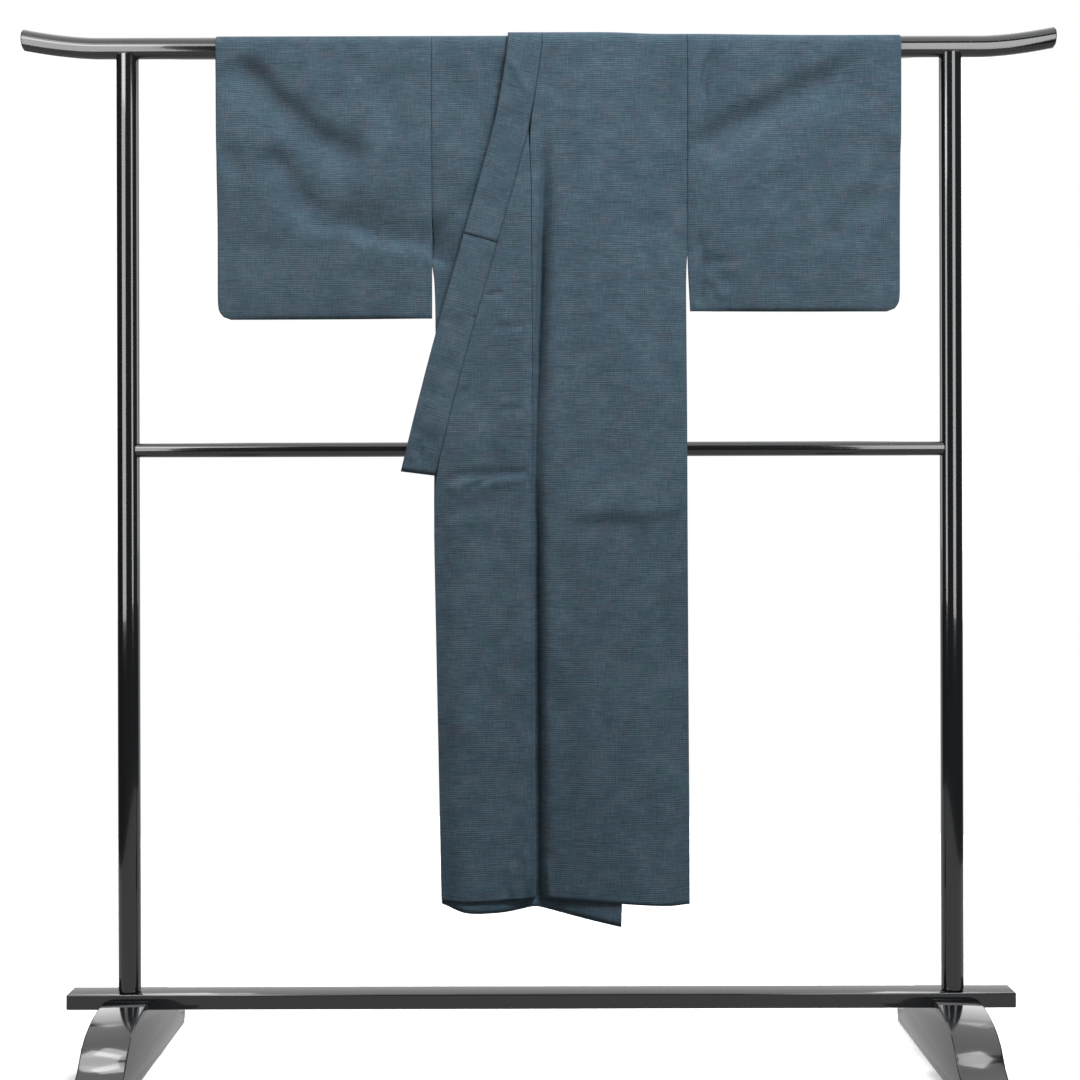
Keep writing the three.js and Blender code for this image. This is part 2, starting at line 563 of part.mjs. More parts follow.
// One arm of the collar, from its lower end up the front, over the bar and down to the back of the neck.
// The band runs square to its seam, and level where it crosses the bar.
function collarArm(net, size, { seam, width, depth, radius, lift }) {
  const shares = [0, 0.5, 1];
  const heights = ROW_Z.filter((z) => z > size.lowest + 1 && z < BAR.z);
  const rows = [...heights, size.lowest].reverse().map((z) => {
    const lean = (seam(z + SLOPE_SPAN) - seam(z - SLOPE_SPAN)) / (2 * SLOPE_SPAN);
    const slope = Math.atan(lean) * smoothstep(BAR.z - z, size.level.from, size.level.to);
    return net.row(shares.map((share) => {
      const x = seam(z) + width * share * Math.cos(slope);
      const height = z - width * share * Math.sin(slope);
      return new THREE.Vector3(x, depth(x, height) - lift, height);
    }));
  });
  const xs = shares.map((share) => seam(BAR.z) + width * share);
  for (let step = -QUARTER; step <= QUARTER; step++) {
    const share = clamp((step + QUARTER) / (size.backStep + QUARTER), 0, 1);
    const away = lerp(radius + lift, size.backRadius, share);
    rows.push(net.row(xs.map((x) => overBar(x, angleAt(step), away))));
  }
  for (const z of size.backZ) {
    const y = size.backRadius + backLine(z) - INNER_RADIUS;
    rows.push(net.row(xs.map((x) => new THREE.Vector3(x, y, z))));
  }
  for (let i = 0; i + 1 < rows.length; i++) net.band(rows[i], rows[i + 1], Math.sign(width));
  return rows;
}

// The whole band: both arms, and the stretch between them behind the neck
function collar(size) {
  const net = new Net();
  const left = {
    seam: (z) => collarSeam(z) - GAP / 2,
    width: -size.leftWidth,
    depth: frontY,
    radius: leftRadius(0),
    lift: size.lift,
  };
  const right = {
    seam: (z) => rightInnerEdge(z) + GAP / 2,
    width: size.rightWidth,
    depth: underY,
    radius: INNER_RADIUS,
    lift: size.lift,
  };
  const leftRows = collarArm(net, size, left);
  const rightRows = collarArm(net, size, right);
  const rowsBehindNeck = QUARTER - size.backStep + size.backZ.length;
  for (let i = rowsBehindNeck; i > 0; i--) {
    const [a, b] = [leftRows.at(-i - 1), leftRows.at(-i)];
    const [c, d] = [rightRows.at(-i - 1), rightRows.at(-i)];
    net.band([a[0], c[0]], [b[0], d[0]], 1);
  }
  return wall(net, size.thick);
}

function addCollars() {
  add("collar", collar(COLLAR), tsumugi);
  add("over_collar", collar(OVER_COLLAR), tsumugi);
}

// How deep the sleeve's front is pressed in by its folds
function sleeveFold(folds, x, z) {
  let depth = 0;
  for (const { from, to, width, depth: most } of folds) {
    const [dx, dz] = [to[0] - from[0], to[1] - from[1]];
    const length = Math.hypot(dx, dz);
    const along = ((x - from[0]) * dx + (z - from[1]) * dz) / length;
    const off = ((x - from[0]) * dz - (z - from[1]) * dx) / length;
    const begins = smoothstep(along, -width, width * 2);
    const ends = 1 - smoothstep(along, length - width, length + width * 2);
    depth += most * begins * ends * bump(off, width);
  }
  return depth;
}

// A sleeve: one length folded over the bar and sewn along the bottom, round the corner and up to the cuff.
// Its rings run from the bottom up the front, over the bar and down the back to the bottom again.
function sleeve(size, seamX, slit, folds, radiusAt) {
  const net = new Net();
  const side = Math.sign(size.cuffX);
  const { bottom, cuffEnd } = size;
  const { edgeFade, belly, cuffFade, plumb, quiet } = SLEEVE_FORM;
  const corner = CORNER_RISES.map((rise) => bottom + rise);
  const heights = [...corner, ARMHOLE_Z, SLEEVE_ROWS.armToCuff, cuffEnd, ...SLEEVE_ROWS.aboveCuff];
  const edgeX = (z) => {
    const rise = Math.min(z - bottom, CORNER);
    return size.cuffX - side * (CORNER - Math.sqrt(CORNER ** 2 - (CORNER - rise) ** 2));
  };
  const leanLeft = (x) => lerp(1, plumb.share, smoothstep(Math.abs(x - seamX), 0, plumb.reach));
  const centre = (x, z) => sideLine(Math.max(z, ARMHOLE_Z)) * leanLeft(x);
  const innerX = (z) => seamX + side * slit * clamp((ARMHOLE_Z - z) / (ARMHOLE_Z - bottom), 0, 1);
  const halfDepth = (x, z) => {
    const share = clamp((z - bottom) / (BAR.z - bottom), 0, 1) ** belly;
    const free = lerp(BOTTOM_HALF, radiusAt(x), share);
    const sewn = 1 - smoothstep(z, cuffEnd - cuffFade, cuffEnd + cuffFade);
    const fromCuff = smoothstep(Math.abs(x - edgeX(z)), 0, edgeFade);
    const atCuff = lerp(free, lerp(SEWN_HALF, free, fromCuff), sewn);
    const atSeam = z < ARMHOLE_Z ? SEWN_HALF : sideHalf(z, radiusAt(seamX));
    return lerp(atSeam, atCuff, smoothstep(Math.abs(x - innerX(z)), 0, edgeFade));
  };
  const ring = (z, face) => across(SLEEVE_SHARES, innerX(z), edgeX(z)).map((x) => {
    const half = z === bottom ? 0 : halfDepth(x, z);
    const [from, to] = quiet.bottom;
    const share = smoothstep(z, bottom + from, bottom + to) * smoothstep(BAR.z - z, 0, quiet.bar);
    const room = Math.max(half - SEWN_HALF, 0);
    const pressed = face < 0 ? Math.min(sleeveFold(folds, x, z) * share, room) : 0;
    return new THREE.Vector3(x, centre(x, z) + face * (half - pressed), z);
  });
  const rings = heights.map((z) => ring(z, -1));
  const xs = across(SLEEVE_SHARES, seamX, size.cuffX);
  for (let step = -QUARTER; step <= QUARTER; step++)
    rings.push(xs.map((x) => overBar(x, angleAt(step), radiusAt(x))));
  for (const z of heights.slice(1).reverse()) rings.push(ring(z, 1));
  const ids = rings.map((points) => net.row(points));
  ids.push(ids[0]);
  for (let i = 0; i + 1 < ids.length; i++) net.band(ids[i], ids[i + 1], side);
  return wall(net, CLOTH);
}

function addSleeves() {
  const { right, left } = SLEEVES;
  const rightSeam = SEAM_X.right - SLEEVE_GAP;
  const leftSeam = SEAM_X.left + SLEEVE_GAP;
  add("right_sleeve", sleeve(right, rightSeam, SLIT.right, SLEEVE_FOLDS.right, () => INNER_RADIUS), tsumugi);
  add("left_sleeve", sleeve(left, leftSeam, SLIT.left, SLEEVE_FOLDS.left, leftSleeveRadius), tsumugi);
}

addRack();
addBody();
addOverlaps();
addCollars();
addSleeves();

export default part;
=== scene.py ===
"""A man's tsumugi kimono on a lacquered kimono rack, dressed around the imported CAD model.

Metres, +Z up; the viewer stands at -Y. Left and right are the wearer's, so left lies at +X.
"""

import math

import bmesh
import bpy
import numpy as np
from bpy.props import FloatProperty, FloatVectorProperty, IntProperty, PointerProperty
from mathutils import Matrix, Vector
from mathutils.bvhtree import BVHTree


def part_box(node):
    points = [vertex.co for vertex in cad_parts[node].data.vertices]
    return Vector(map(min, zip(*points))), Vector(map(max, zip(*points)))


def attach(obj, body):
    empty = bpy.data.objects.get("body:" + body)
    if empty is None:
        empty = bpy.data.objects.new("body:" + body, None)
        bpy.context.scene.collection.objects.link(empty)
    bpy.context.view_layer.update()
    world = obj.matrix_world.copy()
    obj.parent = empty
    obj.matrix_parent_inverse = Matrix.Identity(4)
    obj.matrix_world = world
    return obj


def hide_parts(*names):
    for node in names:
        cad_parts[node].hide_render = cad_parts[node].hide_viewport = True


bl_info = {
    "name": "Tsumugi kimono on a rack",
    "version": (1, 0, 0),
    "blender": (4, 5, 0),
    "location": "View3D > Sidebar > Kimono",
    "description": "Builds a hanging tsumugi kimono, its lacquered rack and a plain studio",
    "category": "Add Mesh",
}

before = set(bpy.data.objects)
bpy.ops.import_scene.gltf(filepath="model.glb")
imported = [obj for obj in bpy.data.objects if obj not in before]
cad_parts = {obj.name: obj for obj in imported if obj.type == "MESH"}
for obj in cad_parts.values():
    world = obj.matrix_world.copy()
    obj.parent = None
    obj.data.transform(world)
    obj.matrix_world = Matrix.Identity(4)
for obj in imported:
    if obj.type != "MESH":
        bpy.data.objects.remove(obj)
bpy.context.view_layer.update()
ROOT = "root"

# Sizes read from the frame
RAIL_LOW, RAIL_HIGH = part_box("middle_rail")
BAR_LOW, BAR_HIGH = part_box("top_bar")
BAR_RADIUS = (BAR_HIGH.y - BAR_LOW.y) / 2
BAR_AXIS_Z = BAR_LOW.z + BAR_RADIUS

# How the top bar's ends sweep up
SWEEP_LENGTH = 0.120
SWEEP_POWER = 1.7
SWEEP_STEPS = 16
CHAMFER = 0.0018  # at the ends of the round bars
RAIL_INTO_POST = 0.0015  # how far the rail's ends reach past its solid, into the posts

WELD = 2e-5  # the frame's points that are closer than this are one point
FLAT_ANGLE = math.radians(0.5)  # neighbouring faces flatter than this are one face
ROUNDED_ANGLE = math.radians(40)  # the beam's and feet's edges sharper than this are rounded
PAST_OWN_WALL = 0.0026  # more than the thickest cloth
PAST_WALL = 0.0004  # past a wall that was just counted
CREASES_BEGIN = 0.030  # creases reach their full depth this far below the bar's axis
PULL_FADE = (0.004, 0.014)  # an edge's pull ends between these depths behind the bar's axis
WANDER = {"share": 0.15, "most": 0.0028, "pace": 60, "start": 90}  # how a crease's line strays

# The camera that took the photograph: level, 2.4 m in front of the bar, its frame 1.72 m wide there
CAMERA = {"distance": 2.4, "height": 0.8365, "frame_width": 1.720, "sensor_mm": 36.0, "roll_degrees": 0.15}

# Softboxes that light everything: place, what they point at, width and height, and power in watts
SOFTBOXES = [
    ("overhead_box", (1.3, -2.2, 4.0), (0.0, 0.0, 1.0), (1.0, 0.7), 176.0),
    ("left_box", (-1.05, -1.05, 2.15), (-0.4, 0.0, 1.6), (0.75, 0.6), 6.0),
    ("right_box", (1.25, -1.45, 1.55), (0.0, 0.0, 1.3), (0.75, 1.5), 1.5),
    ("low_box", (0.2, -1.3, 0.25), (0.0, 0.0, 0.3), (1.2, 0.4), 1.5),
    ("back_overhead_box", (0.7, 2.2, 4.1), (0.0, 0.0, 1.0), (1.6, 0.7), 155.0),
    ("back_low_box", (-0.2, 1.3, 0.25), (0.0, 0.0, 0.3), (1.2, 0.4), 1.5),
    ("back_left_box", (-1.25, 1.45, 1.55), (0.0, 0.0, 1.3), (0.75, 1.5), 4.0),
    ("back_right_box", (1.25, 1.35, 1.55), (0.0, 0.0, 1.3), (0.75, 1.5), 4.0),
]
# Panels that show only in the lacquer's gloss: a stripe down each side of a post, and the pale backdrop
GLOSS_PANELS = [
    ("gloss_left", (-1.20, -1.00, 1.40), (-0.6, 0.0, 1.4), (0.75, 1.5), 17.0),
    ("gloss_right", (1.05, -1.15, 1.40), (0.5, 0.0, 1.4), (0.60, 1.5), 13.0),
    ("gloss_back_left", (-1.05, 1.15, 1.40), (-0.5, 0.0, 1.4), (0.60, 1.5), 2.5),
    ("gloss_back_right", (1.20, 1.00, 1.40), (0.6, 0.0, 1.4), (0.75, 1.5), 3.5),
    ("gloss_backdrop", (0.0, 2.3, 1.3), (0.0, 0.0, 1.3), (6.0, 3.4), 33.0),
    ("gloss_ceiling", (0.0, -0.9, 3.4), (0.0, -0.9, 0.0), (5.0, 2.0), 40.0),
    ("gloss_back_ceiling", (0.0, 1.1, 3.4), (0.0, 1.1, 0.0), (5.0, 2.0), 40.0),
]

# A crease runs along points (x, z) in metres, from left to right or from top to bottom. Widths are how
# far it reaches above or right of that line, and below or left of it. Depth is how far it is pressed
# towards the garment's inside, and a negative one is a ridge. BOTH bends the two walls backwards together.
FRONT, BACK, BOTH = 0, 1, 2


def crease(face, points, widths, depth, fade_length=0.03):
    above, below = widths if isinstance(widths, tuple) else (widths, widths)
    line = {"face": face, "points": points, "fade": fade_length}
    return {**line, "above": above, "below": below, "depth": depth}


# How each layer takes the valley: depth, and how far it reaches left and right of its bottom.
# Each ridge beside it: distance, reach and height.
OUTER_RIDGES = [(-0.022, 0.017, 0.0035), (0.028, 0.018, 0.0020)]
OUTER = {"depth": 0.0165, "left": 0.0030, "right": 0.0125, "ridges": OUTER_RIDGES}
UNDER = {"depth": 0.0120, "left": 0.024, "right": 0.024, "ridges": []}
# The valley beside the left overlap's seam: height, place across, and share of its full depth
VALLEY = [
    (0.250, -0.0060, 0.70),
    (0.450, -0.0066, 1.00),
    (0.850, -0.0078, 1.00),
    (0.930, -0.0076, 0.50),
    (1.020, -0.0060, 0.50),
    (1.120, -0.0038, 0.90),
    (1.250, 0.0012, 1.00),
    (1.400, 0.0066, 0.55),
    (1.500, 0.0080, 0.00),
]
COLLAR_EDGE = [
    (-0.0545, 1.616),
    (-0.0695, 1.5155),
    (-0.0975, 1.404),
    (-0.118, 1.322),
    (-0.140, 1.244),
    (-0.161, 1.173),
]
COLLAR_SEAM = [(-0.003, 1.56), (-0.016, 1.485), (-0.0665, 1.304), (-0.119, 1.12), (-0.165, 0.938)]
LEFT_ARM_SEAM = crease(FRONT, [(0.2344, 1.61), (0.2344, 1.29)], 0.0045, 0.0007)
RIGHT_ARM_SEAM = crease(FRONT, [(-0.1695, 1.61), (-0.1695, 1.29)], 0.0045, 0.0007)
ROOT_FOLD = [
    (-0.400, 1.352),
    (-0.346, 1.338),
    (-0.300, 1.330),
    (-0.243, 1.316),
    (-0.176, 1.297),
    (-0.120, 1.266),
]
SLEEVE_ROOT_FOLD = crease(BOTH, ROOT_FOLD, (0.036, 0.0095), 0.0135, 0.10)
# The curved bands and ridges whose points need a line of their own
LEFT_KNEE_RIDGE = [(0.030, 0.879), (0.110, 0.877), (0.160, 0.879), (0.236, 0.887)]
OVERLAP_KNEE = [(-0.153, 0.925), (-0.129, 0.937), (-0.060, 0.941), (-0.014, 0.941)]
RIGHT_BAND = [(-0.500, 1.606), (-0.447, 1.563), (-0.380, 1.495), (-0.318, 1.456), (-0.262, 1.428)]
LEFT_BAND = [(0.215, 1.446), (0.282, 1.476), (0.367, 1.520), (0.443, 1.558), (0.520, 1.604)]
LEFT_HOOK = [(0.278, 1.620), (0.2645, 1.585), (0.261, 1.560), (0.263, 1.520)]

LEFT_FRONT_CREASES = [
    LEFT_ARM_SEAM,
    crease(FRONT, COLLAR_SEAM, 0.0040, 0.0004),
    crease(FRONT, LEFT_KNEE_RIDGE, (0.040, 0.008), -0.0054, 0.05),
    crease(FRONT, [(0.050, 0.868), (0.105, 0.866), (0.165, 0.868)], (0.006, 0.030), 0.0026, 0.04),
    crease(FRONT, [(0.120, 1.57), (0.105, 1.30)], 0.030, 0.0022, 0.10),
    crease(FRONT, [(0.205, 1.60), (0.200, 1.45)], 0.014, 0.0035, 0.06),
    crease(FRONT, [(0.165, 1.42), (0.185, 1.05)], 0.022, 0.0038, 0.12),
    crease(FRONT, [(0.060, 1.22), (0.085, 0.92)], 0.028, 0.0035, 0.10),
    crease(FRONT, [(0.020, 0.86), (0.060, 0.66)], (0.020, 0.016), 0.0042, 0.08),
    crease(FRONT, [(0.018, 0.62), (0.026, 0.54)], (0.016, 0.008), 0.0042, 0.03),
    crease(FRONT, [(0.200, 0.80), (0.205, 0.45)], 0.020, 0.0035, 0.12),
    crease(FRONT, [(0.115, 0.72), (0.105, 0.40)], 0.032, 0.0038, 0.12),
    crease(FRONT, [(0.160, 0.50), (0.180, 0.27)], 0.020, 0.0032, 0.08),
    crease(FRONT, [(0.030, 0.640), (0.090, 0.628), (0.160, 0.634)], 0.014, 0.0021, 0.04),
    crease(FRONT, [(0.060, 0.470), (0.150, 0.462)], 0.016, 0.0019, 0.05),
    crease(FRONT, [(0.008, 0.330), (0.014, 0.262)], 0.007, -0.0035, 0.02),
]
LEFT_OVERLAP_CREASES = [
    crease(FRONT, COLLAR_SEAM, 0.0040, 0.0004),
    crease(FRONT, [(-0.089, 1.220), (-0.053, 1.228)], (0.0045, 0.0040), 0.0029, 0.012),
    crease(FRONT, [(-0.074, 1.171), (-0.018, 1.174)], 0.005, 0.0022, 0.015),
    crease(FRONT, [(-0.130, 1.067), (-0.108, 1.068)], 0.0045, 0.0029, 0.008),
    crease(FRONT, [(-0.072, 1.042), (-0.018, 1.041)], 0.005, 0.0022, 0.015),
    crease(FRONT, OVERLAP_KNEE, (0.007, 0.0045), 0.0051, 0.014),
    crease(FRONT, [(-0.150, 0.915), (-0.110, 0.927), (-0.030, 0.931)], (0.006, 0.012), -0.0035, 0.02),
    crease(FRONT, [(-0.110, 0.918), (-0.078, 0.933), (-0.062, 0.942)], 0.0045, 0.0038, 0.010),
    crease(FRONT, [(-0.150, 0.880), (-0.060, 0.893)], 0.012, 0.0019, 0.03),
    crease(FRONT, [(-0.105, 0.83), (-0.085, 0.52)], 0.032, 0.0035, 0.12),
    crease(FRONT, [(-0.120, 0.56), (-0.125, 0.30)], 0.022, 0.0032, 0.08),
    crease(FRONT, [(-0.058, 0.700), (-0.054, 0.40)], 0.024, -0.0032, 0.10),
    crease(FRONT, [(-0.046, 0.330), (-0.044, 0.262)], 0.007, -0.0032, 0.02),
    crease(FRONT, [(-0.022, 0.350), (-0.018, 0.262)], 0.006, -0.0038, 0.02),
    crease(FRONT, [(-0.150, 0.500), (-0.080, 0.492)], 0.014, 0.0018, 0.04),
]
COLLAR_CREASES = [
    crease(FRONT, [(-0.052, 1.602), (-0.037, 1.572), (-0.013, 1.528)], (0.010, 0.008), -0.0034, 0.02),
    crease(FRONT, [(-0.088, 1.470), (-0.060, 1.480), (-0.034, 1.500)], (0.008, 0.009), -0.0024, 0.018),
    crease(FRONT, [(-0.070, 1.596), (-0.046, 1.560), (-0.018, 1.505)], (0.010, 0.013), 0.0064, 0.025),
    crease(FRONT, [(-0.074, 1.528), (-0.052, 1.512), (-0.034, 1.500)], (0.009, 0.012), 0.0042, 0.016),
    crease(FRONT, [(-0.098, 1.450), (-0.066, 1.462), (-0.036, 1.482)], (0.010, 0.014), 0.0048, 0.020),
    crease(FRONT, [(-0.118, 1.372), (-0.060, 1.360)], 0.014, 0.0019, 0.02),
    crease(FRONT, [(-0.160, 1.186), (-0.118, 1.178)], 0.0055, 0.0029, 0.012),
    crease(FRONT, [(-0.196, 1.078), (-0.140, 1.060)], 0.010, 0.0026, 0.015),
    crease(FRONT, [(-0.206, 1.010), (-0.180, 0.998), (-0.162, 0.985)], 0.007, 0.0042, 0.012),
    crease(FRONT, [(-0.200, 0.990), (-0.182, 0.955)], (0.009, 0.006), 0.0048, 0.012),
]
# The collar stands flush with the over-collar's end, not a step behind it
OVER_COLLAR_END = crease(FRONT, [(-0.125, 1.3215), (-0.060, 1.3010)], (0.0015, 0.030), -0.0014, 0.001)
RIGHT_FRONT_CREASES = [
    crease(FRONT, COLLAR_EDGE, (0.030, 0.0140), 0.0085, 0.05),
    RIGHT_ARM_SEAM,
    SLEEVE_ROOT_FOLD,
    crease(FRONT, [(-0.120, 1.600), (-0.135, 1.450)], 0.018, 0.0038, 0.05),
    crease(FRONT, [(-0.168, 1.395), (-0.120, 1.405)], 0.020, 0.0029, 0.02),
]
RIGHT_SLEEVE_CREASES = [
    RIGHT_ARM_SEAM,
    SLEEVE_ROOT_FOLD,
    crease(FRONT, RIGHT_BAND, (0.020, 0.030), 0.0180, 0.06),
    crease(FRONT, [(-0.440, 1.470), (-0.395, 1.405), (-0.345, 1.340)], (0.018, 0.024), 0.0135, 0.05),
    crease(FRONT, [(-0.502, 1.470), (-0.470, 1.395)], 0.016, 0.0054, 0.03),
    crease(FRONT, [(-0.480, 1.330), (-0.400, 1.262)], 0.024, 0.0042, 0.05),
    crease(FRONT, [(-0.1800, 1.282), (-0.1790, 1.190)], 0.0030, 0.0022, 0.012),
    crease(FRONT, [(-0.250, 1.590), (-0.215, 1.450)], 0.022, 0.0042, 0.05),
    crease(FRONT, [(-0.330, 1.268), (-0.215, 1.236)], 0.022, 0.0032, 0.05),
    crease(BACK, [(-0.470, 1.570), (-0.400, 1.500), (-0.300, 1.430)], (0.020, 0.030), 0.0080, 0.05),
    crease(BACK, [(-0.360, 1.385), (-0.270, 1.345), (-0.185, 1.318)], (0.030, 0.012), 0.0096, 0.05),
    crease(BACK, [(-0.440, 1.360), (-0.300, 1.250)], 0.024, 0.0045, 0.06),
]
LEFT_SLEEVE_CREASES = [
    LEFT_ARM_SEAM,
    crease(FRONT, LEFT_BAND, (0.020, 0.036), 0.0175, 0.09),
    crease(FRONT, LEFT_HOOK, (0.0065, 0.0045), 0.0074, 0.02),
    crease(FRONT, [(0.262, 1.540), (0.255, 1.440)], 0.007, 0.0029, 0.03),
    crease(BOTH, [(0.2560, 1.330), (0.2545, 1.270), (0.2550, 1.200)], (0.010, 0.0045), 0.0064, 0.025),
    crease(FRONT, [(0.262, 1.290), (0.300, 1.225)], (0.016, 0.010), 0.0048, 0.02),
    crease(FRONT, [(0.2745, 1.246), (0.2740, 1.210)], 0.0055, 0.0036, 0.012),
    crease(FRONT, [(0.268, 1.279), (0.318, 1.273)], (0.007, 0.006), 0.0030, 0.015),
    crease(FRONT, [(0.262, 1.212), (0.300, 1.206)], 0.010, 0.0026, 0.015),
    crease(FRONT, [(0.560, 1.480), (0.550, 1.420), (0.545, 1.350)], 0.018, 0.0080, 0.04),
    crease(FRONT, [(0.440, 1.295), (0.500, 1.350), (0.552, 1.405)], (0.020, 0.030), 0.0058, 0.04),
    crease(FRONT, [(0.360, 1.400), (0.380, 1.260)], 0.030, -0.0029, 0.06),
    crease(FRONT, [(0.540, 1.330), (0.536, 1.225)], 0.014, 0.0035, 0.03),
    crease(BACK, [(0.290, 1.440), (0.400, 1.500), (0.520, 1.580)], (0.022, 0.032), 0.0083, 0.05),
    crease(BACK, [(0.255, 1.322), (0.330, 1.350), (0.430, 1.395)], (0.030, 0.012), 0.0093, 0.05),
    crease(BACK, [(0.300, 1.240), (0.480, 1.290)], 0.024, 0.0038, 0.06),
]
LEFT_BACK_CREASES = [
    crease(BACK, [(0.115, 1.38), (0.100, 0.95)], 0.034, 0.0058, 0.14),
    crease(BACK, [(0.185, 1.25), (0.195, 0.80)], 0.024, 0.0048, 0.12),
    crease(BACK, [(0.010, 0.950), (0.100, 0.944), (0.225, 0.953)], (0.030, 0.009), -0.0048, 0.05),
    crease(BACK, [(0.090, 0.86), (0.110, 0.40)], 0.034, 0.0058, 0.14),
    crease(BACK, [(0.185, 0.75), (0.175, 0.35)], 0.024, 0.0048, 0.12),
    crease(BACK, [(0.040, 0.55), (0.060, 0.27)], 0.024, 0.0045, 0.08),
    crease(BACK, [(-0.006, 1.10), (0.004, 0.62)], 0.014, 0.0026, 0.10),
    crease(BACK, [(0.150, 1.44), (0.215, 1.36)], (0.020, 0.014), 0.0042, 0.04),
    crease(BACK, [(0.020, 0.66), (0.120, 0.640)], 0.014, 0.0022, 0.04),
]
RIGHT_BACK_CREASES = [
    SLEEVE_ROOT_FOLD,
    crease(BACK, [(-0.080, 1.46), (-0.096, 0.98)], 0.026, 0.0054, 0.14),
    crease(BACK, [(-0.150, 0.950), (-0.090, 0.944), (-0.030, 0.948)], (0.030, 0.009), -0.0045, 0.03),
    crease(BACK, [(-0.115, 0.86), (-0.100, 0.32)], 0.026, 0.0054, 0.12),
    crease(BACK, [(-0.155, 1.350), (-0.100, 1.410)], (0.020, 0.012), 0.0051, 0.03),
    crease(BACK, [(-0.055, 0.62), (-0.060, 0.30)], 0.014, -0.0035, 0.08),
]
# Edges drawn together where the frame leaves a gap that the photograph doesn't show: where the edge is
# (across), how far into the cloth the pull reaches, and its size at each height. Only the front takes
# the one beside the collar.
COLLAR_TOP_EDGE = {
    "at": 0.008,
    "reach": 0.014,
    "rows": [(1.580, 0), (1.620, -0.0026), (1.638, -0.0028), (1.646, -0.0034), (1.670, -0.0034)],
}
LEFT_SLIT_EDGE = {
    "at": 0.233,
    "reach": 0.020,
    "rows": [(1.240, 0), (1.270, 0.0007), (1.290, 0.0010), (1.310, 0)],
}
RIGHT_SLIT_EDGE = {
    "at": -0.167,
    "reach": 0.020,
    "rows": [
        (1.120, 0),
        (1.200, -0.0018),
        (1.250, -0.0022),
        (1.270, -0.0038),
        (1.283, -0.0050),
        (1.300, -0.0032),
        (1.315, -0.0013),
        (1.328, 0),
    ],
}
# Cut sizes (width, length) in metres, and which pieces of the frame make each sheet
GARMENT = {
    "left_panel": {
        "valley": OUTER,
        "edges": [COLLAR_TOP_EDGE, LEFT_SLIT_EDGE],
        "nodes": ["left_front", "left_back"],
        "creases": LEFT_FRONT_CREASES + LEFT_BACK_CREASES,
        "flat": (0.315, 2.78),
        "area": 0.76,
        "levels": 3,
    },
    "right_panel": {
        "valley": UNDER,
        "edges": [RIGHT_SLIT_EDGE],
        "nodes": ["right_front", "right_back"],
        "creases": RIGHT_FRONT_CREASES + RIGHT_BACK_CREASES,
        "flat": (0.315, 2.78),
        "area": 0.77,
        "levels": 3,
    },
    "left_overlap_panel": {
        "valley": OUTER,
        "nodes": ["left_overlap"],
        "creases": LEFT_OVERLAP_CREASES,
        "flat": (0.153, 1.22),
        "area": 0.151,
        "levels": 4,
    },
    "right_overlap_panel": {
        "valley": UNDER,
        "nodes": ["right_overlap"],
        "creases": [],
        "flat": (0.150, 1.26),
        "area": 0.148,
        "levels": 3,
    },
    "collar_band": {
        "nodes": ["collar"],
        "creases": COLLAR_CREASES + [OVER_COLLAR_END],
        "flat": (0.054, 1.70),
        "area": 0.086,
        "levels": 3,
    },
    "over_collar_band": {
        "nodes": ["over_collar"],
        "creases": COLLAR_CREASES,
        "flat": (0.054, 0.92),
        "area": 0.046,
        "levels": 3,
    },
    "left_sleeve_cloth": {
        "nodes": ["left_sleeve"],
        "creases": LEFT_SLEEVE_CREASES,
        "flat": (0.340, 0.92),
        "area": 0.307,
        "levels": 3,
    },
    "right_sleeve_cloth": {
        "nodes": ["right_sleeve"],
        "creases": RIGHT_SLEEVE_CREASES,
        "flat": (0.342, 0.94),
        "area": 0.316,
        "levels": 3,
    },
}
COLLAR_SLOPE = math.radians(14.5)  # how far the collar's length leans from upright


class KimonoCloth(bpy.types.PropertyGroup):
    """Sizes and colours of the tsumugi cloth."""

    ground: FloatVectorProperty(
        name="Ground",
        description="Blue-grey of most of the yarn",
        subtype="COLOR",
        size=3,
        min=0,
        max=1,
        default=(0.0515, 0.0890, 0.1190),
    )
    dark_yarn: FloatVectorProperty(
        name="Dark yarn",
        description="The darker lines of the check",
        subtype="COLOR",
        size=3,
        min=0,
        max=1,
        default=(0.020, 0.034, 0.046),
    )
    light_yarn: FloatVectorProperty(
        name="Light yarn",
        description="The paler slubs",
        subtype="COLOR",
        size=3,
        min=0,
        max=1,
        default=(0.115, 0.165, 0.200),
    )
    check_pitch: FloatProperty(
        name="Check pitch",
        description="From one thin line of the check to the next",
        subtype="DISTANCE",
        default=0.0034,
    )
    crease_strength: FloatProperty(
        name="Crease strength",
        # Multiplies the depth of every listed crease
        description="Multiplies the depth of every crease placed by hand",
        default=1.0,
        min=0,
        max=3,
    )
    ripple: FloatProperty(
        name="Ripple",
        description="Height of the soft unevenness all over the cloth",
        subtype="DISTANCE",
        default=0.0011,
    )


class RackLacquer(bpy.types.PropertyGroup):
    """The rack's black lacquer."""

    colour: FloatVectorProperty(
        name="Lacquer",
        description="Colour of the lacquer",
        subtype="COLOR",
        size=3,
        min=0,
        max=1,
        default=(0.009, 0.010, 0.012),
    )
    edge_radius: FloatProperty(
        name="Edge radius",
        description="Rounding of the beam's and feet's edges",
        subtype="DISTANCE",
        default=0.0022,
    )
    round_steps: IntProperty(
        name="Round steps",
        description="Sides of each round bar",
        default=64,
        min=16,
        max=128,
    )


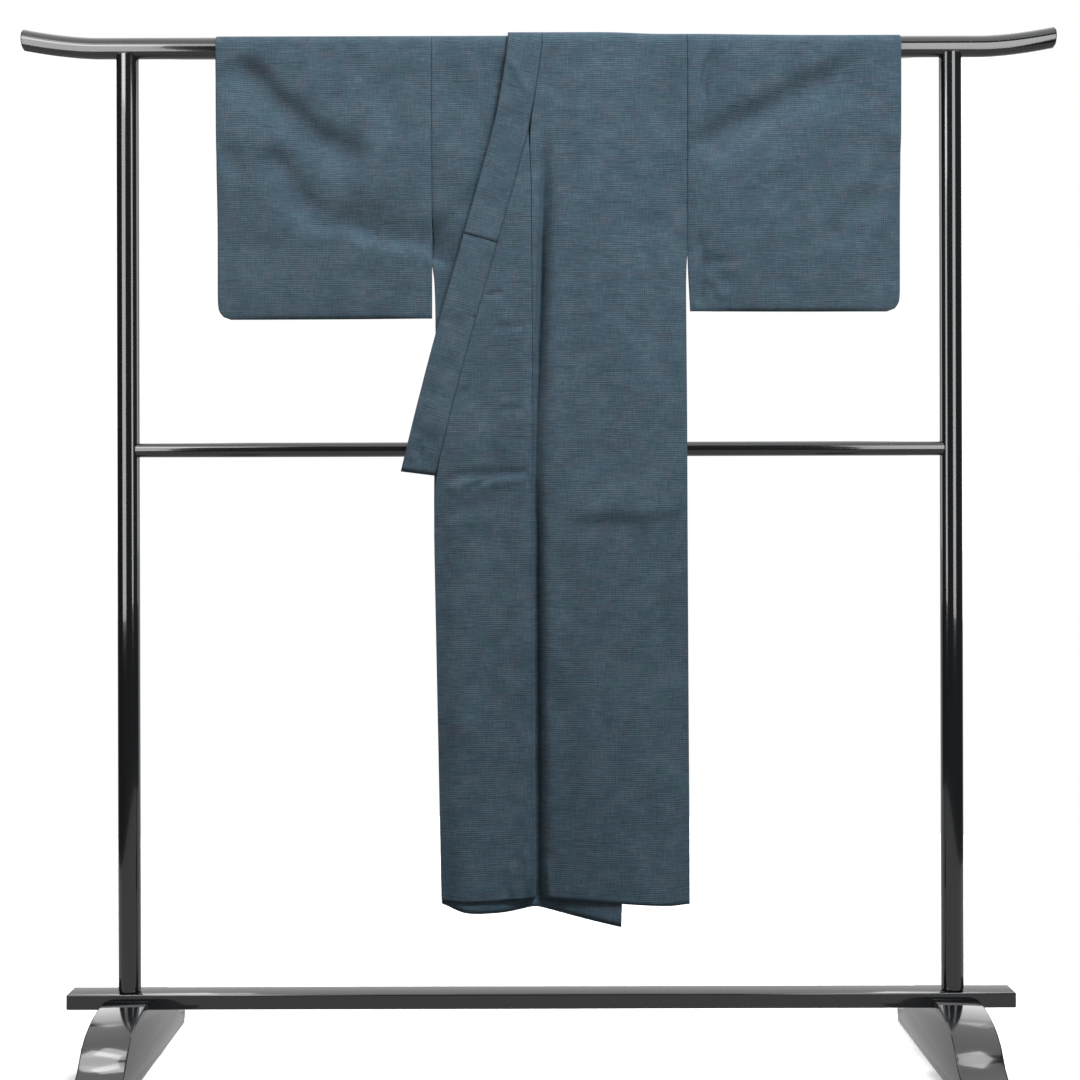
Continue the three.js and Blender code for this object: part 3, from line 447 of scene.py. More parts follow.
class StudioStage(bpy.types.PropertyGroup):
    """The plain studio round the part."""

    floor_size: FloatProperty(
        name="Floor size",
        description="Diameter of the round floor",
        subtype="DISTANCE",
        default=4.4,
    )
    light_power: FloatProperty(
        name="Softboxes",
        description="Multiplies the power of every softbox",
        default=1.0,
        min=0,
        max=10,
    )
    sky: FloatProperty(
        name="Surrounding light",
        description="Strength of the even light from all round",
        default=0.06,
        min=0,
        max=5,
    )


# Node helpers


def new_group(name, inputs, outputs):
    """A shader node group with named inputs (kind, default) and outputs."""
    tree = bpy.data.node_groups.new(name, "ShaderNodeTree")
    for socket, (kind, default) in inputs.items():
        made = tree.interface.new_socket(socket, in_out="INPUT", socket_type=f"NodeSocket{kind}")
        if default is not None:
            made.default_value = default
    for socket, kind in outputs.items():
        tree.interface.new_socket(socket, in_out="OUTPUT", socket_type=f"NodeSocket{kind}")
    entry = tree.nodes.new("NodeGroupInput")
    leave = tree.nodes.new("NodeGroupOutput")
    return tree, entry, leave


def node(tree, kind, links=None, **settings):
    """A node with its settings, and its inputs linked from sockets or set to values."""
    made = tree.nodes.new(f"ShaderNode{kind}")
    for key, value in settings.items():
        setattr(made, key, value)
    for key, value in (links or {}).items():
        if isinstance(value, bpy.types.NodeSocket):
            tree.links.new(value, made.inputs[key])
        else:
            made.inputs[key].default_value = value
    return made


def math_node(tree, operation, a, b=None, c=None, clamp=False):
    links = {0: a}
    if b is not None:
        links[1] = b
    if c is not None:
        links[2] = c
    return node(tree, "Math", links, operation=operation, use_clamp=clamp).outputs[0]


def mix_colour(tree, factor, a, b, blend="MIX"):
    made = node(tree, "Mix", data_type="RGBA", blend_type=blend)
    for socket, value in ((made.inputs[0], factor), (made.inputs[6], a), (made.inputs[7], b)):
        if isinstance(value, bpy.types.NodeSocket):
            tree.links.new(value, socket)
        elif hasattr(value, "__len__") and len(value) == 3:
            socket.default_value = (*value, 1)
        else:
            socket.default_value = value
    return made.outputs[2]


def stretched_noise(tree, vector, scale, detail=2.0, roughness=0.5):
    """Noise in lines: the scale, a vector, is low along the lines and high across them."""
    moved = node(tree, "VectorMath", {0: vector, 1: scale}, operation="MULTIPLY").outputs[0]
    links = {"Vector": moved, "Scale": 1.0, "Detail": detail, "Roughness": roughness}
    return node(tree, "TexNoise", links).outputs[0]


def sharpen(tree, value, low, high):
    """0 below low, 1 above high, smooth between them."""
    links = {"Value": value, 1: low, 2: high, 3: 0.0, 4: 1.0}
    return node(tree, "MapRange", links, interpolation_type="SMOOTHSTEP").outputs[0]


def build_weave_group():
    """Tsumugi in a fine check, in cloth coordinates: X across the width and Y along the length, in metres."""
    inputs = {
        "Cloth": ("Vector", None),
        "Ground": ("Color", (0.06, 0.09, 0.12, 1)),
        "Dark": ("Color", (0.03, 0.05, 0.07, 1)),
        "Light": ("Color", (0.1, 0.15, 0.18, 1)),
        "Pitch": ("Float", 0.0034),
        "Check": ("Float", 1.0),
        "Mottle": ("Float", 1.0),
    }
    outputs = {"Color": "Color", "Height": "Float", "Roughness": "Float"}
    tree, entry, leave = new_group("tsumugi_weave", inputs, outputs)
    cloth = entry.outputs["Cloth"]
    parts = node(tree, "SeparateXYZ", {0: cloth})
    turn = math_node(tree, "DIVIDE", 2 * math.pi, entry.outputs["Pitch"])

    def check_line(axis, patches, reach):
        """Thin dark lines with paler ones between, strong in some patches and faint in others."""
        wave = math_node(tree, "SINE", math_node(tree, "MULTIPLY", parts.outputs[axis], turn))
        strength = math_node(tree, "MULTIPLY_ADD", sharpen(tree, patches, 0.38, 0.66), reach[1], reach[0])
        return math_node(tree, "MULTIPLY", wave, strength)

    def signed(value, size):
        """A noise value as a swing of that size to either side of nothing."""
        return math_node(tree, "MULTIPLY_ADD", value, 2 * size, -size)

    weft_patches = stretched_noise(tree, cloth, (16.0, 26.0, 1.0), 2.0, 0.55)
    warp_patches = stretched_noise(tree, cloth, (30.0, 15.0, 7.0), 2.0, 0.55)
    lines = math_node(
        tree,
        "ADD",
        check_line("Y", weft_patches, (0.11, 0.30)),
        check_line("X", warp_patches, (0.01, 0.15)),
    )
    yarn = math_node(
        tree,
        "ADD",
        signed(stretched_noise(tree, cloth, (40.0, 480.0, 1.0), 3.0, 0.7), 0.95),
        signed(stretched_noise(tree, cloth, (430.0, 45.0, 1.0), 3.0, 0.7), 0.62),
    )
    slub = sharpen(tree, stretched_noise(tree, cloth, (26.0, 330.0, 2.0), 2.0, 0.6), 0.66, 0.76)
    bars = sharpen(tree, stretched_noise(tree, cloth, (11.0, 300.0, 5.0), 2.0, 0.6), 0.57, 0.74)
    slub = math_node(tree, "MULTIPLY_ADD", bars, -1.5, slub)
    cloud = math_node(
        tree,
        "ADD",
        signed(stretched_noise(tree, cloth, (26.0, 30.0, 3.0), 3.0, 0.6), 0.55),
        signed(stretched_noise(tree, cloth, (6.0, 9.0, 4.0), 2.0, 0.5), 0.30),
    )
    tone = math_node(tree, "MULTIPLY", lines, entry.outputs["Check"])
    tone = math_node(tree, "ADD", tone, yarn)
    tone = math_node(tree, "MULTIPLY_ADD", slub, 0.28, tone)
    tone = math_node(tree, "MULTIPLY_ADD", cloud, entry.outputs["Mottle"], tone)
    hue = node(tree, "ValToRGB", {"Fac": stretched_noise(tree, cloth, (34.0, 42.0, 3.0), 3.0, 0.6)})
    ramp = hue.color_ramp
    ramp.elements[0].position, ramp.elements[0].color = 0.34, (0.93, 1.04, 0.96, 1)
    ramp.elements[1].position, ramp.elements[1].color = 0.66, (1.20, 0.98, 0.98, 1)
    ramp.elements.new(0.50).color = (0.96, 1.0, 1.06, 1)
    ground = mix_colour(tree, 1.0, entry.outputs["Ground"], hue.outputs[0], "MULTIPLY")
    darker = math_node(tree, "MULTIPLY", tone, -1.0, clamp=True)
    lighter = math_node(tree, "MULTIPLY", tone, 1.0, clamp=True)
    coloured = mix_colour(tree, darker, ground, entry.outputs["Dark"])
    coloured = mix_colour(tree, lighter, coloured, entry.outputs["Light"])
    height = math_node(tree, "MULTIPLY_ADD", lines, 0.4, math_node(tree, "MULTIPLY_ADD", slub, 0.5, yarn))
    rough = math_node(tree, "MULTIPLY_ADD", lighter, -0.12, 0.82)
    tree.links.new(coloured, leave.inputs["Color"])
    tree.links.new(height, leave.inputs["Height"])
    tree.links.new(rough, leave.inputs["Roughness"])
    return tree


def build_lacquer_group():
    """Hand-rubbed lacquer: faint waves and a little dust in the gloss."""
    inputs = {"Place": ("Vector", None), "Base": ("Color", (0.006, 0.006, 0.0065, 1)), "Wear": ("Float", 1.0)}
    outputs = {"Color": "Color", "Height": "Float", "Roughness": "Float"}
    tree, entry, leave = new_group("rubbed_lacquer", inputs, outputs)
    wave = stretched_noise(tree, entry.outputs["Place"], (14.0, 14.0, 14.0), 2.0, 0.4)
    dust = stretched_noise(tree, entry.outputs["Place"], (180.0, 180.0, 180.0), 3.0, 0.6)
    specks = math_node(tree, "MULTIPLY", sharpen(tree, dust, 0.62, 0.8), entry.outputs["Wear"])
    dusty = math_node(tree, "MULTIPLY", specks, 0.12)
    colour = mix_colour(tree, dusty, entry.outputs["Base"], (0.05, 0.05, 0.052))
    rough = math_node(tree, "MULTIPLY_ADD", wave, 0.06, 0.10)
    rough = math_node(tree, "MULTIPLY_ADD", specks, 0.10, rough)
    tree.links.new(colour, leave.inputs["Color"])
    tree.links.new(wave, leave.inputs["Height"])
    tree.links.new(rough, leave.inputs["Roughness"])
    return tree


def shared_group(name, builder):
    """The node group of that name, built the first time that it is wanted."""
    return bpy.data.node_groups.get(name) or builder()


def principled(name):
    material = bpy.data.materials.new(name)
    material.use_nodes = True
    shader = material.node_tree.nodes["Principled BSDF"]
    return material, material.node_tree, shader


def group_node(tree, group, links):
    made = tree.nodes.new("ShaderNodeGroup")
    made.node_tree = group
    for key, value in links.items():
        if isinstance(value, bpy.types.NodeSocket):
            tree.links.new(value, made.inputs[key])
        elif hasattr(value, "__len__") and len(value) == 3 and made.inputs[key].type == "RGBA":
            made.inputs[key].default_value = (*value, 1)
        else:
            made.inputs[key].default_value = value
    return made


def use_group(tree, shader, made, bump_distance, bump_strength):
    """Feeds a finish's colour, roughness and relief to the shader."""
    tree.links.new(made.outputs["Color"], shader.inputs["Base Color"])
    tree.links.new(made.outputs["Roughness"], shader.inputs["Roughness"])
    links = {"Height": made.outputs["Height"], "Strength": bump_strength, "Distance": bump_distance}
    bump = node(tree, "Bump", links)
    tree.links.new(bump.outputs[0], shader.inputs["Normal"])


def tsumugi_material():
    """The kimono's cloth."""
    existing = bpy.data.materials.get("tsumugi_cloth")
    if existing:
        return existing
    cloth = bpy.context.scene.kimono_cloth
    material, tree, shader = principled("tsumugi_cloth")
    place = node(tree, "UVMap", uv_map="cloth")
    links = {
        "Cloth": place.outputs[0],
        "Ground": cloth.ground,
        "Dark": cloth.dark_yarn,
        "Light": cloth.light_yarn,
        "Pitch": cloth.check_pitch,
        "Check": 1.0,
        "Mottle": 1.0,
    }
    made = group_node(tree, shared_group("tsumugi_weave", build_weave_group), links)
    use_group(tree, shader, made, 0.0003, 0.5)
    shader.inputs["Sheen Weight"].default_value = 0.10
    shader.inputs["Sheen Roughness"].default_value = 0.45
    shader.inputs["Sheen Tint"].default_value = (0.62, 0.74, 0.85, 1)
    shader.inputs["Specular IOR Level"].default_value = 0.30
    return material


def lacquer_material():
    """The rack's black lacquer."""
    existing = bpy.data.materials.get("black_lacquer")
    if existing:
        return existing
    lacquer = bpy.context.scene.rack_lacquer
    material, tree, shader = principled("black_lacquer")
    place = node(tree, "TexCoord")
    links = {"Place": place.outputs["Object"], "Base": lacquer.colour, "Wear": 1.0}
    made = group_node(tree, shared_group("rubbed_lacquer", build_lacquer_group), links)
    use_group(tree, shader, made, 0.0004, 0.25)
    shader.inputs["IOR"].default_value = 1.55
    shader.inputs["Coat Weight"].default_value = 0.8
    shader.inputs["Coat Roughness"].default_value = 0.04
    return material


# Cloth


def frame_mesh(nodes):
    """One mesh from these nodes of the frame, with doubled points merged and its triangles paired again."""
    mesh = bmesh.new()
    for name in nodes:
        mesh.from_mesh(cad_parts[name].data)
    bmesh.ops.remove_doubles(mesh, verts=mesh.verts, dist=WELD)
    limits = {"angle_face_threshold": math.radians(60), "angle_shape_threshold": math.radians(75)}
    bmesh.ops.join_triangles(mesh, faces=mesh.faces, **limits)
    return mesh


def join_shoulder(mesh):
    """Sews front and back together again on top of the bar, where the frame parts one length of cloth."""
    near_middle, sewn_within = 3e-4, 6e-4
    edge = [v for v in mesh.verts if abs(v.co.y) < near_middle and v.co.z > BAR_AXIS_Z]
    bmesh.ops.remove_doubles(mesh, verts=edge, dist=sewn_within)
    loose = [f for f in mesh.faces if len({v.index for v in f.verts}) < 3]
    bmesh.ops.delete(mesh, geom=loose, context="FACES")


def mark_back(mesh):
    """Marks each point 1 on the garment's back and 0 on its front: it counts the walls in front of it."""
    tree = BVHTree.FromBMesh(mesh)
    flag = mesh.verts.layers.float.new("back")
    forward = Vector((0, -1, 0))
    for vert in mesh.verts:
        walls = 0
        start = vert.co + forward * PAST_OWN_WALL
        while walls < 6:
            hit = tree.ray_cast(start, forward)[0]
            if hit is None:
                break
            walls += 1
            start = hit + forward * PAST_WALL
        over_bar = vert.co.z > BAR_AXIS_Z
        vert[flag] = float(vert.co.y > 0) if over_bar else float(walls >= 2)


def cloth_tree():
    """All the frame's cloth, for measuring from wall to wall."""
    mesh = bmesh.new()
    for plan in GARMENT.values():
        for name in plan["nodes"]:
            mesh.from_mesh(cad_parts[name].data)
    tree = BVHTree.FromBMesh(mesh)
    mesh.free()
    return tree


def mark_room(mesh, tree, share=0.62, most=0.03):
    """Marks how far each point may be pressed in: its share of the way to the next wall inside."""
    flag = mesh.verts.layers.float["back"]
    room = mesh.verts.layers.float.new("room")
    for vert in mesh.verts:
        inward = Vector((0, -1 if vert[flag] else 1, 0))
        start, own_wall, distance = vert.co + inward * 2e-4, 0.0, most / share
        for _ in range(4):
            hit, normal, _, _ = tree.ray_cast(start, inward)
            if hit is None:
                break
            reached = (hit - vert.co).length
            if normal.dot(inward) < 0:
                distance = reached - own_wall
                break
            own_wall = reached
            start = hit + inward * 1e-4
        vert[room] = min(share * max(distance, 0), most)


def crease_rims(mesh, limit=math.radians(48)):
    """Keeps the cloth's cut edges crisp when the mesh is subdivided."""
    sharp = mesh.edges.layers.float.get("crease_edge") or mesh.edges.layers.float.new("crease_edge")
    for edge in mesh.edges:
        if len(edge.link_faces) != 2 or edge.calc_face_angle(0) > limit:
            edge[sharp] = 1.0


def subdivided(mesh, name, levels):
    """An object with the mesh, smoothed by subdivision and applied."""
    rough = bpy.data.meshes.new(name + "_rough")
    mesh.to_mesh(rough)
    mesh.free()
    piece = bpy.data.objects.new(name, rough)
    bpy.context.scene.collection.objects.link(piece)
    smooth = piece.modifiers.new("smooth", "SUBSURF")
    smooth.levels = levels
    smooth.render_levels = levels
    smooth.use_limit_surface = False
    evaluated = piece.evaluated_get(bpy.context.evaluated_depsgraph_get())
    final = bpy.data.meshes.new_from_object(evaluated)
    piece.modifiers.clear()
    piece.data = final
    final.name = name
    bpy.data.meshes.remove(rough)
    return piece


def thin_out(piece, limit=200_000, target=199_000):
    """Takes away the few triangles that a very fine mesh has too many of."""
    triangles = sum(len(face.vertices) - 2 for face in piece.data.polygons)
    if triangles <= limit:
        return
    thin = piece.modifiers.new("thin", "DECIMATE")
    thin.ratio = target / triangles
    full = piece.data
    evaluated = piece.evaluated_get(bpy.context.evaluated_depsgraph_get())
    thinned = bpy.data.meshes.new_from_object(evaluated)
    piece.modifiers.clear()
    piece.data = thinned
    bpy.data.meshes.remove(full)
    piece.data.name = piece.name


def fade(value, low, high):
    t = np.clip((value - low) / (high - low), 0, 1)
    return t * t * (3 - 2 * t)


def crease_depth(x, z, item):
    """How deep one crease presses each point in."""
    nearest = np.full_like(x, 1e9)
    aside, along = np.zeros_like(x), np.zeros_like(x)
    run = 0.0
    for (x0, z0), (x1, z1) in zip(item["points"], item["points"][1:]):
        dx, dz = x1 - x0, z1 - z0
        length = math.hypot(dx, dz)
        share = np.clip(((x - x0) * dx + (z - z0) * dz) / length**2, 0, 1)
        off_x, off_z = x - x0 - share * dx, z - z0 - share * dz
        distance = np.hypot(off_x, off_z)
        nearer = distance < nearest
        nearest = np.where(nearer, distance, nearest)
        aside = np.where(nearer, np.sign(off_x * dz - off_z * dx) * distance, aside)
        along = np.where(nearer, run + share * length, along)
        run += length
    # the line wanders a little, as a real crease does
    stray = min(WANDER["share"] * item["above"], WANDER["most"])
    aside = aside + stray * np.sin(along * WANDER["pace"] + item["points"][0][0] * WANDER["start"])
    width = np.where(aside < 0, item["above"], item["below"])
    soft = min(item["fade"], run / 2)
    ends = fade(along, 0, soft) * (1 - fade(along, run - soft, run))
    return item["depth"] * ends * np.exp(-((aside / width) ** 2))


def ripples(x, z, size):
    """Soft unevenness: a few long waves that cross."""
    waves = [(23.0, 5.0, 0.3), (-9.0, 11.0, 1.9), (41.0, -7.0, 4.1), (13.0, 29.0, 2.2), (-31.0, 17.0, 5.3)]
    total = sum(np.sin(x * a + z * b + c) for a, b, c in waves)
    return size * total / len(waves)


def valley_depth(x, z, layer):
    """How deep the valley down the front presses a layer, with a ridge at either side of it."""
    heights, places, shares = zip(*VALLEY)
    off = x - np.interp(z, heights, places)
    share = np.interp(z, heights, shares, left=0, right=0)
    reach = np.where(off < 0, layer["left"], layer["right"])
    depth = layer["depth"] * np.exp(-((off / reach) ** 2))
    for place, width, height in layer["ridges"]:
        depth = depth - height * np.exp(-(((off - place) / width) ** 2))
    return depth * share


def edge_pull(points, edge):
    """How far sideways an edge, and the cloth beside it, is drawn."""
    x, y, z = points.T
    heights, sizes = zip(*edge["rows"])
    pull = np.interp(z, heights, sizes, left=0, right=0) * np.exp(-(((x - edge["at"]) / edge["reach"]) ** 2))
    return pull * (1 - fade(y, *PULL_FADE))


def read_points(mesh):
    flat = np.empty(len(mesh.vertices) * 3, np.float32)
    mesh.vertices.foreach_get("co", flat)
    return flat.reshape(-1, 3)


def read_mark(mesh, name):
    values = np.empty(len(mesh.vertices), np.float32)
    mesh.attributes[name].data.foreach_get("value", values)
    return values


def press(piece, plan):
    """Moves the cloth's points by its creases and ripples. Both faces of a wall move together."""
    settings = bpy.context.scene.kimono_cloth
    mesh = piece.data
    points = read_points(mesh)
    back, room = read_mark(mesh, "back"), read_mark(mesh, "room")
    x, z = points[:, 0], points[:, 2]
    below_bar = fade(BAR_AXIS_Z - z, 0.0, CREASES_BEGIN)
    shifts = {face: ripples(x + 0.7 * face, z, settings.ripple) for face in (FRONT, BACK)}
    shifts[BOTH] = np.zeros_like(x)
    for item in plan["creases"]:
        shifts[item["face"]] = shifts[item["face"]] + settings.crease_strength * crease_depth(x, z, item)
    # a wall stops short of the one behind it
    front, rear = (
        np.where(s < 0, s, room * np.tanh(np.maximum(s, 0) / np.maximum(room, 1e-5)))
        for s in (shifts[FRONT], shifts[BACK])
    )
    moved = front * (1 - back) - rear * back + shifts[BOTH]
    if "valley" in plan:
        moved = moved + valley_depth(x, z, plan["valley"]) * (1 - back)
    points[:, 1] += moved * below_bar
    points[:, 0] += sum(edge_pull(points, edge) for edge in plan.get("edges", []))
    mesh.vertices.foreach_set("co", points.ravel())
    mesh.update()


def lay_grain(piece, lean=0.0):
    """A UV map in metres on the cloth: X across it and Y along it, up the front and over the bar."""
    mesh = piece.data
    x, y, z = read_points(mesh).T
    above = np.clip(z - BAR_AXIS_Z, 0, None)
    round_bar = np.arctan2(above, np.abs(y)) * (BAR_RADIUS + 0.002)
    along = np.where(z > BAR_AXIS_Z, BAR_AXIS_Z + round_bar, z)
    across = x * math.cos(lean) - along * math.sin(lean)
    along = x * math.sin(lean) + along * math.cos(lean)
    corners = np.empty(len(mesh.loops), np.int32)
    mesh.loops.foreach_get("vertex_index", corners)
    grain = mesh.uv_layers.get("cloth") or mesh.uv_layers.new(name="cloth")
    grain.data.foreach_set("uv", np.stack([across[corners], along[corners]], 1).astype(np.float32).ravel())


def garment_piece(name):
    """One sheet of the kimono, on the form of its nodes in the frame."""
    plan = GARMENT[name]
    mesh = frame_mesh(plan["nodes"])
    mark_back(mesh)
    mark_room(mesh, cloth_tree())
    if len(plan["nodes"]) > 1:
        join_shoulder(mesh)
    crease_rims(mesh)
    piece = subdivided(mesh, name, plan["levels"])
    press(piece, plan)
    lean = COLLAR_SLOPE if "collar" in name else 0.0
    lay_grain(piece, lean)
    thin_out(piece)
    piece.data.materials.clear()
    piece.data.materials.append(tsumugi_material())
    for face in piece.data.polygons:
        face.use_smooth = True
    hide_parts(*plan["nodes"])
    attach(piece, ROOT)
    return piece


class GarmentOperator:
    """Shared by the operators that make pieces of the kimono."""

    bl_options = {"REGISTER", "UNDO"}
    pieces = ()

    def execute(self, context):
        for name in self.pieces:
            garment_piece(name)
        return {"FINISHED"}


class KIMONO_OT_body(GarmentOperator, bpy.types.Operator):
    """Makes the two body lengths, each from the front hem over the bar to the back hem"""

    bl_idname = "kimono.body"
    bl_label = "Body"
    pieces = ("left_panel", "right_panel")


class KIMONO_OT_overlaps(GarmentOperator, bpy.types.Operator):
    """Makes the overlap panels along the fronts"""

    bl_idname = "kimono.overlaps"
    bl_label = "Overlaps"
    pieces = ("left_overlap_panel", "right_overlap_panel")


class KIMONO_OT_collars(GarmentOperator, bpy.types.Operator):
    """Makes the collar and the over-collar"""

    bl_idname = "kimono.collars"
    bl_label = "Collars"
    pieces = ("collar_band", "over_collar_band")


class KIMONO_OT_sleeves(GarmentOperator, bpy.types.Operator):
    """Makes both sleeves"""

    bl_idname = "kimono.sleeves"
    bl_label = "Sleeves"
    pieces = ("left_sleeve_cloth", "right_sleeve_cloth")


# Rack


def finish_rack_piece(part, mesh, smooth_below=math.radians(35)):
    """Makes a lacquered object of the mesh in place of the frame's part, smooth but for its sharp edges."""
    name = f"{part}_lacquered"
    data = bpy.data.meshes.new(name)
    mesh.to_mesh(data)
    mesh.free()
    piece = bpy.data.objects.new(name, data)
    bpy.context.scene.collection.objects.link(piece)
    data.materials.append(lacquer_material())
    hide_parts(part)
    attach(piece, ROOT)
    piece.data.shade_smooth()
    piece.data.set_sharp_from_angle(angle=smooth_below)


def round_profile(radius, steps, rows):
    """Rings of a round bar, one for each row of centre and two sides: both ends are drawn in by a chamfer."""
    rings = []
    for index, (centre, side_a, side_b) in enumerate(rows):
        at_end = index in (0, len(rows) - 1)
        size = radius - (CHAMFER if at_end else 0)
        ring = []
        for step in range(steps):
            turn = 2 * math.pi * step / steps
            ring.append(centre + side_a * (size * math.cos(turn)) + side_b * (size * math.sin(turn)))
        rings.append(ring)
    return rings


def skin(rings):
    """A closed mesh through rings of points, with flat ends."""
    mesh = bmesh.new()
    made = [[mesh.verts.new(p) for p in ring] for ring in rings]
    for first, second in zip(made, made[1:]):
        for i in range(len(first)):
            j = (i + 1) % len(first)
            mesh.faces.new((first[i], first[j], second[j], second[i]))
    mesh.faces.new(list(reversed(made[0])))
    mesh.faces.new(made[-1])
    bmesh.ops.recalc_face_normals(mesh, faces=mesh.faces)
    return mesh


def bar_height(x):
    """Height of the top bar's axis: level, then swept up at each end."""
    past = (abs(x) - (BAR_HIGH.x - SWEEP_LENGTH)) / SWEEP_LENGTH
    rise = BAR_HIGH.z - BAR_RADIUS - BAR_AXIS_Z
    return BAR_AXIS_Z + rise * min(max(past, 0), 1) ** SWEEP_POWER


class KIMONO_OT_bars(bpy.types.Operator):
    """Makes the rack's round bars: top bar, posts and middle rail"""

    bl_idname = "kimono.bars"
    bl_label = "Bars"
    bl_options = {"REGISTER", "UNDO"}

    def execute(self, context):
        steps = context.scene.rack_lacquer.round_steps
        along, across, up = Vector((1, 0, 0)), Vector((0, 1, 0)), Vector((0, 0, 1))

        def make(part, radius, rows):
            finish_rack_piece(part, skin(round_profile(radius, steps, rows)))

        half = BAR_HIGH.x
        swept = [(SWEEP_LENGTH - CHAMFER) * i / SWEEP_STEPS for i in range(1, SWEEP_STEPS + 1)]
        xs = [-half, -half + CHAMFER] + [-half + CHAMFER + x for x in swept]
        xs += [-x for x in reversed(xs)]
        make("top_bar", BAR_RADIUS, [(Vector((x, 0, bar_height(x))), across, up) for x in xs])
        for part in ("left_post", "right_post"):
            low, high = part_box(part)
            centre, radius = (low + high) / 2, (high.x - low.x) / 2
            heights = [low.z, low.z + CHAMFER, high.z - CHAMFER, high.z]
            make(part, radius, [(Vector((centre.x, 0, z)), along, across) for z in heights])
        radius = (RAIL_HIGH.z - RAIL_LOW.z) / 2
        z = (RAIL_HIGH.z + RAIL_LOW.z) / 2
        reach = RAIL_HIGH.x + RAIL_INTO_POST
        xs = (-reach, -reach + CHAMFER, reach - CHAMFER, reach)
        make("middle_rail", radius, [(Vector((x, 0, z)), across, up) for x in xs])
        return {"FINISHED"}


class KIMONO_OT_base(bpy.types.Operator):
    """Makes the rack's lower beam and its two feet, with rounded edges"""

    bl_idname = "kimono.base"
    bl_label = "Base"
    bl_options = {"REGISTER", "UNDO"}

    def execute(self, context):
        radius = context.scene.rack_lacquer.edge_radius
        for name in ("lower_beam", "left_foot", "right_foot"):
            mesh = bmesh.new()
            mesh.from_mesh(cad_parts[name].data)
            bmesh.ops.remove_doubles(mesh, verts=mesh.verts, dist=WELD)
            bmesh.ops.dissolve_limit(mesh, angle_limit=FLAT_ANGLE, verts=mesh.verts, edges=mesh.edges)
            inner = (e for e in mesh.edges if len(e.link_faces) == 2)
            edges = [e for e in inner if e.calc_face_angle(0) > ROUNDED_ANGLE]
            settings = {"offset": radius, "offset_type": "OFFSET", "segments": 4, "profile": 0.5}
            bmesh.ops.bevel(mesh, geom=edges, clamp_overlap=True, affect="EDGES", **settings)
            finish_rack_piece(name, mesh)
        return {"FINISHED"}


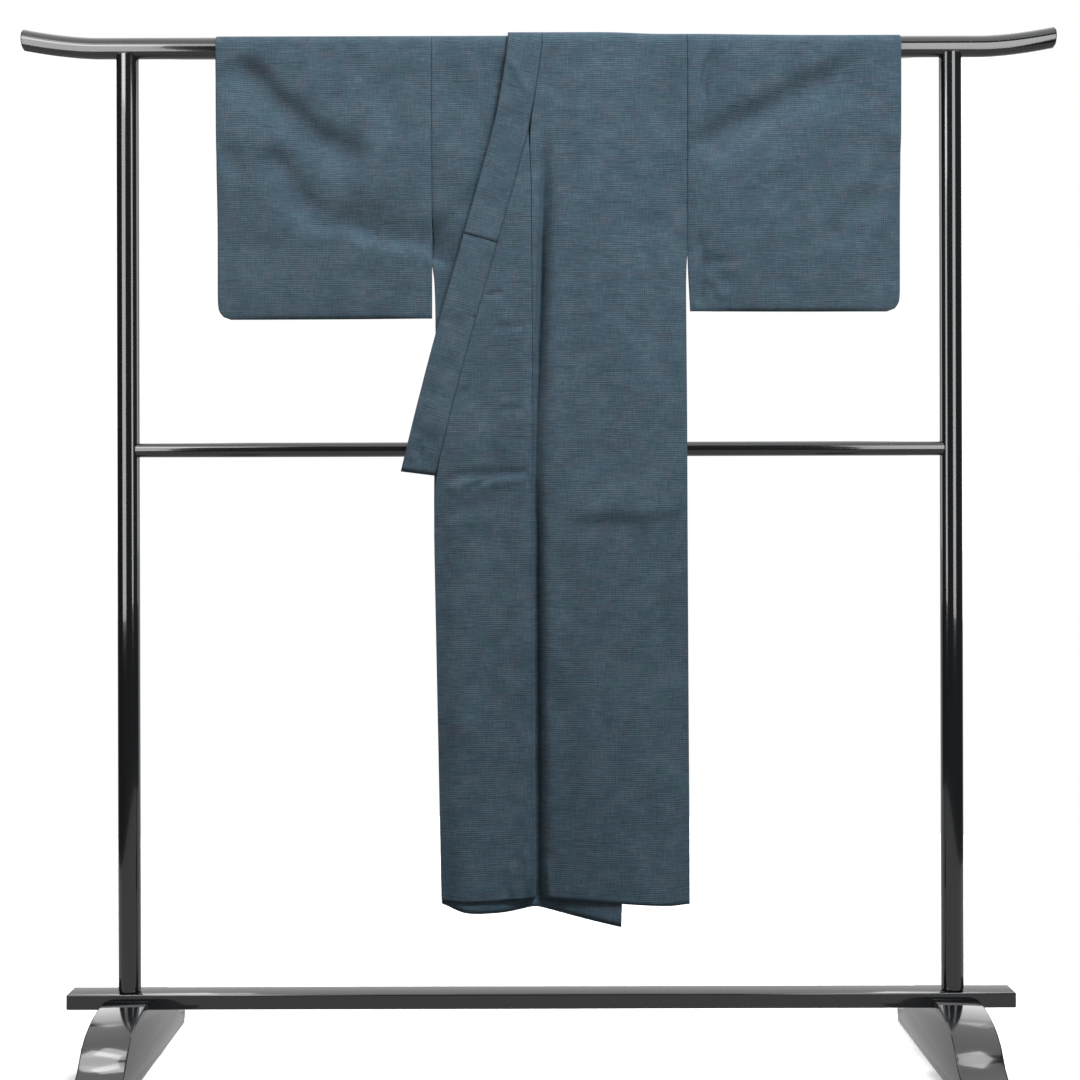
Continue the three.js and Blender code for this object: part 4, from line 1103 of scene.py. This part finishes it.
class KIMONO_OT_stage(bpy.types.Operator):
    """Makes the pale floor, the soft lights and the camera"""

    bl_idname = "kimono.stage"
    bl_label = "Stage"
    bl_options = {"REGISTER", "UNDO"}

    def execute(self, context):
        stage = context.scene.studio_stage
        self.camera(context)
        self.floor(stage)
        self.lights(stage)
        return {"FINISHED"}

    def camera(self, context):
        data = bpy.data.cameras.new("photo_camera")
        data.sensor_width = CAMERA["sensor_mm"]
        data.lens = CAMERA["sensor_mm"] * CAMERA["distance"] / CAMERA["frame_width"]
        camera = bpy.data.objects.new("photo_camera", data)
        camera.location = (0, -CAMERA["distance"], CAMERA["height"])
        camera.rotation_euler = (math.pi / 2, math.radians(CAMERA["roll_degrees"]), 0)
        context.scene.collection.objects.link(camera)
        context.scene.camera = camera

    def floor(self, stage):
        mesh = bmesh.new()
        bmesh.ops.create_circle(mesh, cap_ends=True, segments=96, radius=stage.floor_size / 2)
        data = bpy.data.meshes.new("studio_floor")
        mesh.to_mesh(data)
        mesh.free()
        floor = bpy.data.objects.new("studio_floor", data)
        bpy.context.scene.collection.objects.link(floor)
        material, tree, shader = principled("pale_floor")
        place = node(tree, "TexCoord")
        grain = stretched_noise(tree, place.outputs["Object"], (3.0, 3.0, 3.0), 3.0, 0.5)
        colour = mix_colour(tree, grain, (0.90, 0.90, 0.90), (0.93, 0.93, 0.93))
        tree.links.new(colour, shader.inputs["Base Color"])
        shader.inputs["Roughness"].default_value = 0.6
        shader.inputs["Emission Color"].default_value = (1, 1, 1, 1)
        shader.inputs["Emission Strength"].default_value = 0.45
        shader.inputs["Specular IOR Level"].default_value = 0.15
        # the gloss of the lacquer sees a duller floor than the camera does
        seen = node(tree, "LightPath").outputs["Is Glossy Ray"]
        dull = node(tree, "Emission", {"Color": (1, 1, 1, 1), "Strength": 0.5})
        mix = node(tree, "MixShader", {0: seen, 1: shader.outputs[0], 2: dull.outputs[0]})
        tree.links.new(mix.outputs[0], tree.nodes["Material Output"].inputs["Surface"])
        data.materials.append(material)
        floor.visible_diffuse = False  # no light from below, which would flatten the folds

    def lights(self, stage):
        world = bpy.data.worlds.new("white_studio")
        world.use_nodes = True
        tree = world.node_tree
        around = tree.nodes["Background"]
        around.inputs["Color"].default_value = (1, 1, 1, 1)
        around.inputs["Strength"].default_value = stage.sky
        paper = node(tree, "Background", {"Color": (1, 1, 1, 1), "Strength": 1.0})
        seen = node(tree, "LightPath").outputs["Is Camera Ray"]
        mix = node(tree, "MixShader", {0: seen, 1: around.outputs[0], 2: paper.outputs[0]})
        tree.links.new(mix.outputs[0], tree.nodes["World Output"].inputs["Surface"])
        bpy.context.scene.world = world
        bpy.context.scene.view_settings.view_transform = "Standard"
        for name, place, target, size, power in SOFTBOXES + GLOSS_PANELS:
            data = bpy.data.lights.new(name, "AREA")
            data.shape = "RECTANGLE"
            data.size, data.size_y = size
            data.energy = stage.light_power * power
            light = bpy.data.objects.new(name, data)
            light.location = place
            light.rotation_euler = (Vector(target) - Vector(place)).to_track_quat("-Z", "Y").to_euler()
            light.visible_camera = False
            light.visible_diffuse = not name.startswith("gloss")
            light.visible_glossy = "overhead" not in name and "low" not in name
            bpy.context.scene.collection.objects.link(light)


class KIMONO_PT_panel(bpy.types.Panel):
    """Lists the kimono's settings and operators"""

    bl_idname = "KIMONO_PT_panel"
    bl_label = "Kimono on a rack"
    bl_space_type = "VIEW_3D"
    bl_region_type = "UI"
    bl_category = "Kimono"

    def draw(self, context):
        layout = self.layout
        for name in ("kimono_cloth", "rack_lacquer", "studio_stage"):
            group = getattr(context.scene, name)
            box = layout.box()
            for key in group.__annotations__:
                box.prop(group, key)
        for operator in OPERATORS:
            layout.operator(operator.bl_idname)


GROUPS = {"kimono_cloth": KimonoCloth, "rack_lacquer": RackLacquer, "studio_stage": StudioStage}
OPERATORS = [
    KIMONO_OT_stage,
    KIMONO_OT_bars,
    KIMONO_OT_base,
    KIMONO_OT_body,
    KIMONO_OT_overlaps,
    KIMONO_OT_collars,
    KIMONO_OT_sleeves,
]


def register():
    for item in (*GROUPS.values(), *OPERATORS, KIMONO_PT_panel):
        bpy.utils.register_class(item)
    for name, group in GROUPS.items():
        setattr(bpy.types.Scene, name, PointerProperty(type=group))


def unregister():
    for name in GROUPS:
        delattr(bpy.types.Scene, name)
    for item in reversed((*GROUPS.values(), *OPERATORS, KIMONO_PT_panel)):
        bpy.utils.unregister_class(item)


def main():
    register()
    bpy.ops.kimono.stage()
    bpy.ops.kimono.bars()
    bpy.ops.kimono.base()
    bpy.ops.kimono.body()
    bpy.ops.kimono.overlaps()
    bpy.ops.kimono.collars()
    bpy.ops.kimono.sleeves()


if __name__ == "__main__":
    main()
